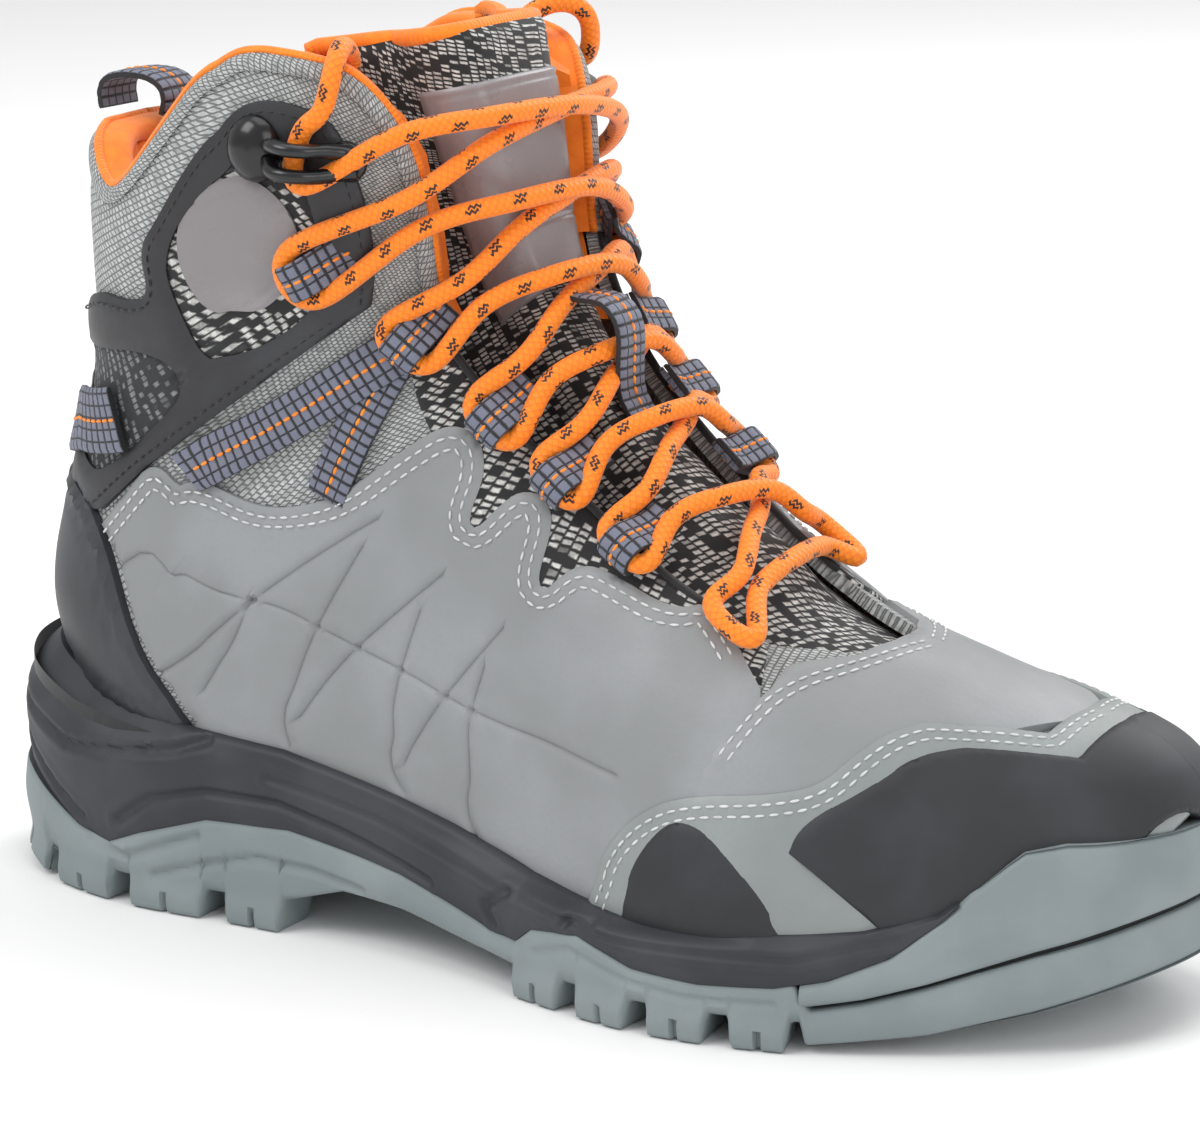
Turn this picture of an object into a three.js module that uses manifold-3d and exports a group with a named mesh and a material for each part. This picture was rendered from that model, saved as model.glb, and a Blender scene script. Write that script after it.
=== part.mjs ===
// Mid-height hiking boot, right foot, built on a parametric last.
// Millimetres, +Z up, toe towards +X, lateral side towards -Y, origin under the middle of the sole.
//
// The last is a chain of cross-sections. Every layer of the upper is the gap between two
// offsets of that last, cut to shape by outlines drawn in the side elevation (x, z).
import * as THREE from 'three';
import { mergeVertices } from 'three/addons/utils/BufferGeometryUtils.js';
import Module from 'manifold-3d';

const wasm = await Module();
wasm.setup();

// ---------------------------------------------------------------- driving dimensions
const SOLE_FRONT = 154;
const SOLE_BACK = -154;
const CENTRE_Y = 2;          // the leg stands this far to the medial side of the sole's middle
const GAP = 0.3;             // clearance between touching pieces
const SEAM = 0.5;            // shift that opens a seam between two panels of one layer
const LUG_DEPTH = 5;
const BUMPER_WALL = 5.5;
const RIM_WALL = 7;          // thickness of the outsole's rim round the midsole
const LACE_RADIUS = 2.3;
const FAR = 400;             // reach of cutting prisms

// layers of the upper, as offsets from the last, inner face then outer face
const LAYER = {
  lining: [-9.4, -8.3],
  padding: [-8, -3.5],
  stiffener: [-4.7, -3.5],
  textile: [-3.2, 0],
  overlay: [0.3, 1.7],
  counter: [0.3, 2.5],
  badge: [0.3, 1.3],
};

// stations of the last, toe to top: [front x, front z, back x, back z, lateral half width,
// medial half width, height of the widest point, upper exponent, lower exponent, centre y]
const STATIONS = [
  [149, 36, 149, 28, 7, 7, 0.50, 2.0, 2.0, 17],
  [146, 50, 146, 22, 18, 17, 0.35, 2.3, 2.5, 17],
  [136, 60, 136, 18, 28, 26, 0.30, 2.4, 3.0, 15],
  [118, 67, 118, 16, 37, 35, 0.28, 2.4, 3.5, 11],
  [95, 75, 95, 15, 46, 43, 0.25, 2.2, 4.0, 6],
  [70, 86, 66, 15, 51, 45, 0.22, 2.1, 4.0, 2],
  [48, 102, 36, 16, 49, 41, 0.20, 2.1, 4.0, 1],
  [28, 119, 2, 20, 42, 37, 0.20, 2.2, 4.0, 2],
  [13, 135, -40, 27, 38, 36, 0.22, 2.3, 4.0, 2],
  [4, 149, -86, 30, 38, 37, 0.25, 2.5, 3.2, 2],
  [-1, 160, -122, 33, 38, 38, 0.30, 2.7, 2.5, 2],
  [-4, 169, -140, 58, 38, 39, 0.40, 2.9, 2.2, 2],
  [-6, 178, -136, 88, 40, 40, 0.47, 3.0, 2.3, 2],
  [-8, 188, -127, 117, 43, 42, 0.50, 3.0, 2.4, 2],
  [-11, 200, -124, 146, 45, 44, 0.50, 3.0, 2.5, 2],
  [-14, 214, -124, 178, 46, 46, 0.50, 3.0, 2.5, 2],
  [-17, 228, -124, 210, 47, 47, 0.50, 3.0, 2.5, 2],
];
const LAST_TOP = STATIONS.length - 1;
const WIDEST = 0.35;         // share of the way round at which a section is widest
const AROUND = 24;           // points round one ring of the last
const CURVED = [2, 12];      // stations between which the rings stand at half steps

// plan outline of the sole, (x, y), round the lateral side and back round the medial side
const SOLE_PLAN = [
  [SOLE_BACK, 2], [-150, -14], [-140, -28], [-122, -37], [-98, -41], [-65, -40], [-32, -40],
  [-2, -45], [23, -52], [45, -56], [65, -55], [85, -50], [103, -42], [121, -32], [140, -19],
  [151, 0], [SOLE_FRONT, 17], [153, 32], [144, 44], [125, 50], [100, 52], [74, 51], [50, 46],
  [22, 39], [-8, 35], [-38, 35], [-68, 37], [-98, 39], [-124, 34], [-141, 24], [-151, 13],
];

// lines of the side elevation, (x, z), heel to toe
const FEATHER = [
  [-170, 60], [-150, 57], [-135, 53], [-120, 49], [-87, 44.5], [-57, 43], [-25, 37], [-8, 33],
  [13, 27], [41, 23.5], [74, 24.5], [98, 27], [112, 31], [120, 37], [128, 45], [136, 47],
  [170, 46],
];
const SOLE_SPLIT = [
  [-170, 30], [-140, 25], [-118, 16], [-107, 14], [-97, 18], [-78, 24], [-55, 25], [-23, 20],
  [5, 14], [18, 17.5], [32, 18.5], [47, 14], [63, 13], [91, 16], [111, 20], [170, 36],
];
// top of the outsole's plate, inside the rim that wraps up round the midsole
const OUTSOLE_PLATE = [
  [-170, 12], [-130, 9], [-80, 11], [-45, 16], [-20, 15.5], [8, 12], [36, 9], [90, 9], [118, 12.5],
  [136, 17], [170, 26],
];
const BUMPER_GROOVE = [[86, 8], [110, 14], [130, 21], [170, 33]];
const FOOT_FLOOR = [
  [-170, 33], [-122, 33], [-86, 30], [-40, 27], [2, 20], [36, 16], [66, 15], [95, 15],
  [118, 16], [136, 18], [146, 22], [170, 30],
];
const COLLAR = [
  [-170, 181], [-128, 180], [-120, 179], [-112, 172], [-104, 168], [-95, 173], [-82, 186],
  [-70, 199], [-60, 204], [-47, 203], [-36, 201], [-28, 193], [-24, 184], [-22.5, 170],
  [-22, 153],
];
const THROAT = [[-22, 153], [-15, 138], [-3, 124], [12, 112], [28, 101], [44, 92], [60, 84], [76, 83]];

// lace anchors in the side elevation, bottom to top, the same on both sides
const LACE_ANCHORS = [[56, 84], [30, 98], [11, 111], [-6, 124], [-26, 141], [-47, 158]];
const HOOK_ANCHOR = [-44, 184];
const LOOP_COUNT = LACE_ANCHORS.length - 1;

// ---------------------------------------------------------------- the last
function catmullRom(p0, p1, p2, p3, f) {
  const a = 2 * p1;
  const b = p2 - p0;
  const c = 2 * p0 - 5 * p1 + 4 * p2 - p3;
  const d = 3 * p1 - p0 - 3 * p2 + p3;
  return (a + b * f + c * f * f + d * f * f * f) / 2;
}

function station(s) {
  const clamped = Math.min(Math.max(s, 0), LAST_TOP - 1e-9);
  const i = Math.floor(clamped);
  const before = STATIONS[Math.max(i - 1, 0)];
  const after = STATIONS[Math.min(i + 2, LAST_TOP)];
  return STATIONS[i].map((v, k) => catmullRom(before[k], v, STATIONS[i + 1][k], after[k], clamped - i));
}

// s is the station, t runs from -1 at the sole up the lateral side to 0 at the front ridge
// and down the medial side to +1 at the sole
function lastPoint(s, t) {
  const [frontX, frontZ, backX, backZ, lateral, medial, widest, upper, lower, centreY] = station(s);
  const up = 1 - Math.abs(t);
  let across;
  let along;
  if (up < WIDEST) {
    const angle = (up / WIDEST) * Math.PI / 2;
    across = Math.pow(Math.sin(angle), 2 / lower);
    along = widest * (1 - Math.pow(Math.cos(angle), 2 / lower));
  } else {
    const angle = (1 - up) / (1 - WIDEST) * Math.PI / 2;
    across = Math.pow(Math.sin(angle), 2 / upper);
    along = widest + (1 - widest) * Math.pow(Math.max(Math.cos(angle), 0), 2 / upper);
  }
  const side = t < 0 ? -lateral : medial;
  return new THREE.Vector3(
    backX + (frontX - backX) * along,
    centreY + side * across,
    backZ + (frontZ - backZ) * along,
  );
}

function wrapT(t) {
  if (t > 1) return t - 2;
  if (t < -1) return t + 2;
  return t;
}

function lastNormal(s, t) {
  const step = 0.02;
  const s0 = Math.max(s - step, 0);
  const s1 = Math.min(s + step, LAST_TOP);
  const alongS = lastPoint(s1, t).sub(lastPoint(s0, t));
  const alongT = lastPoint(s, wrapT(t + step)).sub(lastPoint(s, wrapT(t - step)));
  return alongT.cross(alongS).normalize();
}

function offsetPoint(s, t, offset) {
  return lastPoint(s, t).addScaledVector(lastNormal(s, t), offset);
}

// the point of the last's side whose side elevation is (x, z); side is -1 lateral, +1 medial
function findOnLast(x, z, side) {
  let best = { error: Infinity, s: 0, t: 0 };
  let spanS = LAST_TOP / 2;
  let spanT = 0.45;
  let centre = { s: LAST_TOP / 2, t: side * 0.5 };
  for (let round = 0; round < 9; round += 1) {
    const steps = round === 0 ? 40 : 6;
    for (let i = -steps; i <= steps; i += 1) {
      for (let j = -steps; j <= steps; j += 1) {
        const s = Math.min(Math.max(centre.s + spanS * i / steps, 0), LAST_TOP);
        const t = side * Math.min(Math.max(side * centre.t + spanT * j / steps, 0.01), 0.95);
        const p = lastPoint(s, t);
        const error = Math.hypot(p.x - x, p.z - z);
        if (error < best.error) best = { error, s, t };
      }
    }
    centre = best;
    spanS = round === 0 ? LAST_TOP / 40 : spanS / 3;
    spanT = round === 0 ? 0.02 : spanT / 3;
  }
  return best;
}

// the throat lies off the front ridge, towards the lateral side: the medial panels follow the
// lateral ones but reach further round the last's front
const THROAT_SHIFT = 0.155;
const SHIFT_FULL = [0.36, 0.75];   // shares of the way round between which the shift dies out
const SHIFT_FROM = [4, 6];         // stations over which the shift comes in

function medialT(s, t) {
  const near = 1 - THREE.MathUtils.smoothstep(Math.abs(t), ...SHIFT_FULL);
  const high = THREE.MathUtils.smoothstep(s, ...SHIFT_FROM);
  return Math.abs(t) - THROAT_SHIFT * near * high;
}

// the chart place of a side-elevation point of the lateral side, or of its medial counterpart
function findPaired(x, z, side) {
  const found = findOnLast(x, z, -1);
  return side < 0 ? found : { ...found, t: medialT(found.s, found.t) };
}

function onSide(x, z, side, offset) {
  const found = findPaired(x, z, side);
  return {
    point: offsetPoint(found.s, found.t, offset),
    normal: lastNormal(found.s, found.t),
  };
}

// ---------------------------------------------------------------- solids
function solidOf(geometry) {
  const bare = geometry.index ? geometry.clone() : geometry;
  bare.deleteAttribute('normal');
  bare.deleteAttribute('uv');
  const merged = mergeVertices(bare, 1e-4);
  const vertProperties = new Float32Array(merged.attributes.position.array);
  const triVerts = new Uint32Array(merged.index.array);
  return new wasm.Manifold(new wasm.Mesh({ numProp: 3, vertProperties, triVerts }));
}

function geometryOf(solid) {
  const { vertProperties, numProp, triVerts } = solid.getMesh();
  const positions = new Float32Array(triVerts.length * 3);
  triVerts.forEach((vertex, i) => {
    for (let k = 0; k < 3; k += 1) positions[3 * i + k] = vertProperties[vertex * numProp + k];
  });
  const geometry = new THREE.BufferGeometry();
  geometry.setAttribute('position', new THREE.BufferAttribute(positions, 3));
  return geometry;
}

// fan over the last ring, or the first one, from the ring's middle
function fanCap(ring, base, positions, indices, flip) {
  const around = ring.length;
  const middle = ring.reduce((sum, p) => sum.add(p), new THREE.Vector3()).divideScalar(around);
  const hub = positions.length / 3;
  positions.push(middle.x, middle.y, middle.z);
  for (let j = 0; j < around; j += 1) {
    const a = base + j;
    const b = base + (j + 1) % around;
    if (flip) indices.push(hub, a, b);
    else indices.push(hub, b, a);
  }
}

// cap of a flat ring that runs out along one face and back along the other
function stripCap(ring, base, positions, indices, flip) {
  const last = ring.length - 1;
  for (let j = 0; j < last - 1 - j; j += 1) {
    const [a, b, c, d] = [base + j, base + j + 1, base + last - j - 1, base + last - j];
    if (flip) indices.push(a, b, c, a, c, d);
    else indices.push(a, c, b, a, d, c);
  }
}

// closed skin through rings of points, each ring a closed loop, capped at both ends
function ringSkin(rings, cap = fanCap) {
  const around = rings[0].length;
  const positions = rings.flat().flatMap((p) => [p.x, p.y, p.z]);
  const indices = [];
  for (let i = 0; i + 1 < rings.length; i += 1) {
    for (let j = 0; j < around; j += 1) {
      const a = i * around + j;
      const b = i * around + (j + 1) % around;
      indices.push(a, b, a + around, b, b + around, a + around);
    }
  }
  cap(rings[0], 0, positions, indices, false);
  cap(rings.at(-1), (rings.length - 1) * around, positions, indices, true);
  const geometry = new THREE.BufferGeometry();
  geometry.setAttribute('position', new THREE.BufferAttribute(new Float32Array(positions), 3));
  geometry.setIndex(indices);
  return solidOf(geometry);
}

const skinCache = new Map();
function lastSkin(offset, from = 0) {
  const key = `${offset} ${from}`;
  if (!skinCache.has(key)) {
    const rings = [];
    for (let s = from; s <= LAST_TOP; s += s >= CURVED[0] && s < CURVED[1] ? 0.5 : 1) {
      const ring = [];
      for (let j = 0; j < AROUND; j += 1) ring.push(offsetPoint(s, wrapT(-1 + 2 * j / AROUND), offset));
      rings.push(ring);
    }
    skinCache.set(key, ringSkin(rings));
  }
  return skinCache.get(key);
}

function layer([inner, outer], from = 0) {
  return lastSkin(outer, from).subtract(lastSkin(inner, from));
}

function sideShape(points) {
  return new THREE.Shape(points.map(([x, z]) => new THREE.Vector2(x, z)));
}

// prism of a side-elevation outline, running across the boot
function sidePrism(points, yFrom = -FAR / 2, yTo = FAR / 2) {
  const geometry = new THREE.ExtrudeGeometry(sideShape(points), { depth: yTo - yFrom, bevelEnabled: false });
  geometry.rotateX(Math.PI / 2);
  geometry.translate(0, yTo, 0);
  return solidOf(geometry);
}

// side-elevation outline of the medial counterpart of a lateral panel; points off the last stay
function medialOutline(points) {
  return points.map(([x, z]) => {
    const { s, t, error } = findOnLast(x, z, -1);
    if (error > 0.5) return [x, z];
    const place = lastPoint(s, medialT(s, t));
    return [place.x, place.z];
  });
}

function prismOn(side, points) {
  return sidePrism(side < 0 ? points : medialOutline(points));
}

function smooth(points, perSpan = 3) {
  const curve = new THREE.SplineCurve(points.map(([x, z]) => new THREE.Vector2(x, z)));
  return curve.getPoints((points.length - 1) * perSpan).map((p) => [p.x, p.y]);
}

function smoothLoop(points, perSpan = 3) {
  const curve = new THREE.CatmullRomCurve3(points.map(([x, z]) => new THREE.Vector3(x, z, 0)), true);
  const count = points.length * perSpan;
  return Array.from({ length: count }, (_, i) => curve.getPoint(i / count)).map((p) => [p.x, p.y]);
}

function raised(line, dz) {
  return line.map(([x, z]) => [x, z + dz]);
}

function above(line, dz = 0) {
  const lifted = raised(line, dz);
  return sidePrism([...lifted, [lifted.at(-1)[0], FAR], [lifted[0][0], FAR]]);
}

function below(line, dz = 0) {
  const lifted = raised(line, dz);
  return sidePrism([...lifted, [lifted.at(-1)[0], -FAR], [lifted[0][0], -FAR]].reverse());
}

function planPrism(points, zFrom, zTo) {
  const geometry = new THREE.ExtrudeGeometry(sideShape(points), { depth: zTo - zFrom, bevelEnabled: false });
  geometry.translate(0, 0, zFrom);
  return solidOf(geometry);
}

function inset(points, distance) {
  return points.map(([x, y], i) => {
    const [ax, ay] = points.at(i - 1);
    const [bx, by] = points[(i + 1) % points.length];
    const length = Math.hypot(bx - ax, by - ay);
    return [x - (by - ay) / length * distance, y + (bx - ax) / length * distance];
  });
}

function box(x0, x1, y0, y1, z0, z1) {
  const geometry = new THREE.BoxGeometry(x1 - x0, y1 - y0, z1 - z0);
  geometry.translate((x0 + x1) / 2, (y0 + y1) / 2, (z0 + z1) / 2);
  return solidOf(geometry);
}

const LATERAL_HALF = box(-FAR, FAR, -FAR, CENTRE_Y - GAP, -FAR, FAR);
const MEDIAL_HALF = box(-FAR, FAR, CENTRE_Y + GAP, FAR, -FAR, FAR);
const HALVES = [['lateral', -1, LATERAL_HALF], ['medial', 1, MEDIAL_HALF]];

// everything that the collar edge and the lace throat leave open
const OPENING_LINE = [...COLLAR, ...THROAT.slice(1)];
const FACING = 31;           // degrees from straight ahead that the medial edge of the throat faces
const COLLAR_MEDIAL = [...COLLAR.slice(0, 10), [-36, 202.5], [-26, 201], [-16, 196], [0, 194]];
const MEDIAL_EDGE = [...COLLAR.slice(12), ...THROAT.slice(1)];

// prism that runs out along FACING; its outline is drawn across that direction, as (w, z)
function facingPrism(points) {
  return sidePrism(points.map(([w, z]) => [-w, z])).rotate([0, 0, FACING - 90]);
}

// how far a place of the medial edge lies across the FACING direction, and its height
function acrossFacing([x, z]) {
  const { s, t } = findPaired(x, z, 1);
  const place = lastPoint(s, t);
  const turn = THREE.MathUtils.degToRad(FACING);
  return [Math.cos(turn) * place.y - Math.sin(turn) * place.x, place.z];
}

function makeOpening() {
  const lateral = sidePrism([...OPENING_LINE, [100, 110], [100, FAR], [-170, FAR]])
    .intersect(box(-FAR, FAR, -FAR, CENTRE_Y, -FAR, FAR));
  const edge = MEDIAL_EDGE.map(acrossFacing);
  const front = facingPrism([[edge[0][0], FAR], ...edge, [-40, 80], [-FAR, 80], [-FAR, FAR]]);
  const medial = sidePrism([...COLLAR_MEDIAL, [100, 194], [100, FAR], [-170, FAR]])
    .add(front)
    .intersect(box(-FAR, FAR, CENTRE_Y, FAR, -FAR, FAR));
  return lateral.add(medial);
}

const OPENING = makeOpening();
const UNDER_OPENING = OPENING.translate([-GAP, 0, -3 * GAP]);
const ABOVE_SOLE = above(FEATHER, GAP + 0.1);

// ---------------------------------------------------------------- materials
const COLOURS = {
  leather: 0x9a9d9f,
  capGrey: 0x969ca0,
  rubberBlack: 0x2b2c2f,
  soleGrey: 0x8a979b,
  textile: 0x9b9b9b,
  knitDark: 0x3c3c3e,
  orange: 0xff8c08,
  webbing: 0x5c606c,
  badge: 0x8b8788,
  foam: 0xd9d4c4,
  board: 0xb9a98a,
  steel: 0x8d9296,
  plastic: 0x1d1d1f,
};

const boot = new THREE.Group();

// a cut can leave slivers beside the piece, so only its main body is kept
function mainBody(solid) {
  const bodies = solid.decompose().sort((a, b) => b.volume() - a.volume());
  return bodies[0];
}

function add(name, solid, colour, roughness = 0.8, metalness = 0) {
  const material = new THREE.MeshStandardMaterial({ color: colour, roughness, metalness });
  const mesh = new THREE.Mesh(geometryOf(mainBody(solid)), material);
  mesh.name = name;
  boot.add(mesh);
}

// ---------------------------------------------------------------- sole
function lugProfile() {
  // bottom line of the outsole in the side elevation: lugs on the ground, slots between them,
  // a raised arch and the toe spring
  const lugs = [
    [-154, -130, 7, 0], [-124, -104, 0, 0], [-97, -77, 0, 0], [-70, -58, 0, 0], [14, 28, 0, 0],
    [33, 47, 0, 0], [52, 66, 0, 0], [71, 82, 0, 0], [88, 106, 2, 5], [111, 128, 6, 10], [133, 154, 11, 17],
  ];
  const line = [];
  lugs.forEach(([x0, x1, z0, z1]) => {
    line.push([x0, z0 + LUG_DEPTH], [x0 + 0.5, z0], [x1 - 0.5, z1], [x1, z1 + LUG_DEPTH]);
  });
  line.splice(16, 0, [-44, 12], [-22, 11], [0, 8]);
  return line;
}

function makeOutsole() {
  const profile = lugProfile();
  const side = sidePrism([...profile, [165, 22], ...SOLE_SPLIT.slice().reverse(), [-165, 12]]);
  const channel = planPrism(smoothLoop([
    [-128, 2], [-90, -6], [-60, 4], [20, -16], [60, -18], [100, 2], [118, 12], [100, 18], [60, 16],
    [20, 12], [-60, 10], [-90, 14],
  ], 2), -1, LUG_DEPTH);
  const groove = sidePrism([...BUMPER_GROOVE, [170, 60], [86, 60]]);
  return planPrism(SOLE_PLAN, -1, 60)
    .intersect(side)
    .subtract(channel)
    .subtract(groove)
    .subtract(midsoleCore(0))
    .subtract(lastSkin(GAP));
}

// the part of the midsole that sinks into the outsole
function midsoleCore(clearance) {
  const plate = above(OUTSOLE_PLATE, clearance);
  return planPrism(inset(SOLE_PLAN, RIM_WALL + clearance), 0, 40).intersect(plate);
}

function makeToeBumper() {
  const grooveTop = raised(BUMPER_GROOVE, GAP + 0.3);
  const edge = [[170, 46], [136, 46.7], [128, 44.7], [120, 37], [112, 31], [98, 26.5], [86, 22]];
  const region = sidePrism([...grooveTop, ...edge]);
  const wall = planPrism(SOLE_PLAN, 0, 60).subtract(planPrism(inset(SOLE_PLAN, BUMPER_WALL), -1, 61));
  return wall.intersect(region).subtract(lastSkin(2.2));
}

function makeMidsole(shank) {
  const front = sidePrism([[85.6, -5], [170, -5], [170, 60], [85.6, 60]]);
  const wall = planPrism(SOLE_PLAN, -5, 65).subtract(planPrism(inset(SOLE_PLAN, RIM_WALL + GAP), -6, 66));
  const splitTop = SOLE_SPLIT;
  return planPrism(SOLE_PLAN, 0, 64)
    .intersect(above(splitTop, GAP))
    .add(midsoleCore(GAP))
    .intersect(below(FEATHER))
    .subtract(front.intersect(wall))
    .subtract(lastSkin(GAP))
    .subtract(shank);
}

// steel shank under the board, bent to the arch; its pocket in the midsole is open above
const SHANK_LINE = smooth([[-92, 25], [-60, 24], [-20, 19], [12, 14.5]], 4);
const SHANK_HALF_WIDTH = 9;
const SHANK_THICK = 1.6;

function shankBar(clearance, height) {
  const lower = raised(SHANK_LINE, -SHANK_THICK - clearance);
  const upper = raised(SHANK_LINE, height);
  const reach = SHANK_HALF_WIDTH + clearance;
  const ends = box(-92 - clearance, 12 + clearance, -FAR, FAR, -FAR, FAR);
  const back = -94;
  const front = 14;
  const stretched = [
    [back, lower[0][1]], ...lower, [front, lower.at(-1)[1]],
    [front, upper.at(-1)[1]], ...upper.reverse(), [back, upper.at(-1)[1]],
  ];
  return sidePrism(stretched, CENTRE_Y - reach, CENTRE_Y + reach).intersect(ends);
}

const shankPocket = shankBar(GAP, 30);
add('outsole', makeOutsole(), COLOURS.soleGrey, 0.75);
add('toe_bumper', makeToeBumper(), COLOURS.capGrey, 0.7);
add('midsole', makeMidsole(shankPocket), COLOURS.rubberBlack, 0.7);
add('shank', shankBar(0, 0), COLOURS.steel, 0.4, 0.8);

// ---------------------------------------------------------------- inside the shoe
const FLOOR = FOOT_FLOOR;
const BOARD_TOP = 3.5;
const FOOTBED_TOP = 9;
const aboveBoard = above(FLOOR, BOARD_TOP + GAP);
const aboveFootbed = above(FLOOR, FOOTBED_TOP + 1);
const heelBoardStop = box(-136, FAR, -FAR, FAR, -FAR, FAR);

add('lasting_board', layer(LAYER.textile).intersect(below(FLOOR, BOARD_TOP)), COLOURS.board);
const footbed = lastSkin(-3.5).intersect(below(FLOOR, FOOTBED_TOP)).intersect(heelBoardStop);
add('footbed', footbed, COLOURS.knitDark);

function makeTextile() {
  return layer(LAYER.textile).subtract(UNDER_OPENING).intersect(aboveBoard);
}

add('upper_textile', makeTextile(), COLOURS.textile);

const HEEL_STIFFENER = [[-170, 30], [-78, 30], [-84, 60], [-104, 92], [-170, 92]];
const stiffenerSheet = layer(LAYER.stiffener).intersect(aboveFootbed);
add('heel_stiffener', stiffenerSheet.intersect(sidePrism(HEEL_STIFFENER)), COLOURS.board);
const TOE_PUFF = [[104, 10], [170, 10], [170, 90], [112, 90]];
add('toe_puff', stiffenerSheet.intersect(sidePrism(TOE_PUFF)), COLOURS.board);

const COLLAR_ZONE = [[-30, 142], [-60, 120], [-100, 103], [-170, 96]];
const ANKLE_FROM = 7;
const collarZone = sidePrism([
  [-30, 142], [60, 142], [60, FAR], [-170, FAR], ...COLLAR_ZONE.slice(1).reverse(),
]);
HALVES.forEach(([name, , half]) => {
  const pad = layer(LAYER.padding, ANKLE_FROM).subtract(UNDER_OPENING).intersect(collarZone).intersect(half);
  add(`collar_padding_${name}`, pad, COLOURS.foam);
});
const lining = layer(LAYER.lining, ANKLE_FROM).subtract(UNDER_OPENING).intersect(collarZone);
add('collar_lining', lining, COLOURS.orange);

function makeCollarBinding() {
  const rim = 2.4;
  const beyond = OPENING.translate([0, 0, rim])
    .intersect(OPENING.translate([rim, 0, 0]))
    .intersect(OPENING.translate([-rim, 0, 0]))
    .intersect(OPENING.translate([0.6 * rim, -0.8 * rim, 0]));
  const band = OPENING.subtract(beyond);
  const reach = sidePrism([[-170, 140], [20, 140], [20, FAR], [-170, FAR]]);
  return layer([LAYER.lining[0], 0.8], ANKLE_FROM).intersect(band).intersect(reach);
}

add('collar_binding', makeCollarBinding(), COLOURS.orange);

// ---------------------------------------------------------------- panels of the upper
const CAP_EDGE = [
  [28, 22], [34, 29], [40, 42], [50, 50], [61, 53], [74, 54], [84, 56], [89, 62], [94, 66], [99, 67],
  [109, 66], [121, 65],
];
const COUNTER_EDGE = [[-85, 40], [-93, 57], [-107, 82], [-113, 93], [-127, 100]];
const QUARTER = [
  [-84, 20], [-84, 45], [-92, 57], [-106, 82], [-111, 92], [-92, 108], [-81, 104], [-67, 101], [-56, 101],
  [-42, 105], [-28, 116], [-18, 123], [-12, 123], [-8, 119], [-7, 112], [-10, 103], [-4, 104],
  [2, 109], [8, 107], [11, 101], [9, 90], [14, 92], [20, 96], [28, 95], [44, 88], [56, 81], [67, 73],
  [64, 69], [60, 62], [58, 50], [40, 30], [28, 10],
];
const VAMP = [
  [67.6, 73], [64.6, 69], [60.6, 62], [58.6, 50], [70, 45], [100, 60], [126, 62], [130, 80], [86, 100],
  [77, 83], [72, 80],
];
const WINDOW_FRONT = [
  [80, 44], [83, 50], [94, 56], [100, 62], [110, 62.5], [124, 61.5], [136, 58.5], [152, 56],
  [160, 30], [112, 20], [92, 20],
];
const WINDOW_SIDE = [[44, 16], [45, 30], [50, 43], [56, 47], [62, 46], [68, 42], [82, 20]];
const OVERLAY = [
  [-170, 101], [-127, 101], [-113, 94], [-92, 109], [-60, 131], [-34, 150], [-32, 160], [-33, 178],
  [-37, 193], [-49, 196], [-61, 195], [-73, 182], [-85, 166], [-91, 159], [-89, 148], [-96, 146],
  [-107, 147], [-116, 143], [-170, 140],
];
const OVERLAY_WINDOW = [
  [-57, 188], [-69, 176], [-82, 162], [-84, 151], [-76, 134], [-66, 136], [-53, 143], [-44, 152],
  [-43, 168], [-47, 184],
];
const OVERLAY_REAR_WINDOW = [
  [-124, 132], [-100, 134], [-87, 133], [-83, 127], [-88, 120], [-112, 102], [-120, 106], [-124, 112],
];
const BADGE = [[-79, 168], [-64, 180], [-50, 174], [-47, 160], [-58, 147], [-72, 145], [-80, 155]];

const capPolygon = [...CAP_EDGE, [130, 64.5], [170, 62], [170, -10], [28, -10]];
const counterPolygon = [[-85, 20], ...COUNTER_EDGE, [-170, 100], [-170, 20]];
const capRegion = sidePrism(capPolygon);
const counterRegion = sidePrism(counterPolygon);
const overlaySheet = layer(LAYER.overlay).intersect(ABOVE_SOLE).subtract(UNDER_OPENING);

function makeQuarter(side, half) {
  return overlaySheet
    .intersect(prismOn(side, QUARTER))
    .subtract(capRegion.translate([-SEAM, 0, SEAM]))
    .subtract(counterRegion.translate([SEAM, 0, SEAM]))
    .intersect(half);
}

function windowPane(outline) {
  return overlaySheet.intersect(sidePrism(outline));
}

function makeToeCap() {
  const holes = [WINDOW_FRONT, WINDOW_SIDE].map((outline) => sidePrism(outline));
  return layer(LAYER.overlay)
    .intersect(ABOVE_SOLE)
    .intersect(capRegion)
    .subtract(holes[0])
    .subtract(holes[1]);
}

function isClockwise(outline) {
  return THREE.ShapeUtils.isClockWise(outline.map(([x, z]) => new THREE.Vector2(x, z)));
}

function shrunk(outline, distance) {
  return inset(outline, isClockwise(outline) ? -distance : distance);
}

HALVES.forEach(([name, side, half]) => add(`quarter_${name}`, makeQuarter(side, half), COLOURS.leather, 0.6));
const vamp = overlaySheet.intersect(sidePrism(VAMP)).subtract(capRegion.translate([-SEAM, 0, SEAM]));
add('vamp', vamp, COLOURS.leather, 0.6);
add('toe_cap', makeToeCap(), COLOURS.capGrey, 0.6);
add('toe_window_front', windowPane(shrunk(WINDOW_FRONT, SEAM)), COLOURS.rubberBlack);
HALVES.forEach(([name, , half]) => {
  add(`toe_window_${name}`, windowPane(shrunk(WINDOW_SIDE, SEAM)).intersect(half), COLOURS.rubberBlack);
});
const counter = layer(LAYER.counter).intersect(ABOVE_SOLE).intersect(counterRegion);
add('heel_counter', counter, COLOURS.rubberBlack, 0.5);

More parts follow.
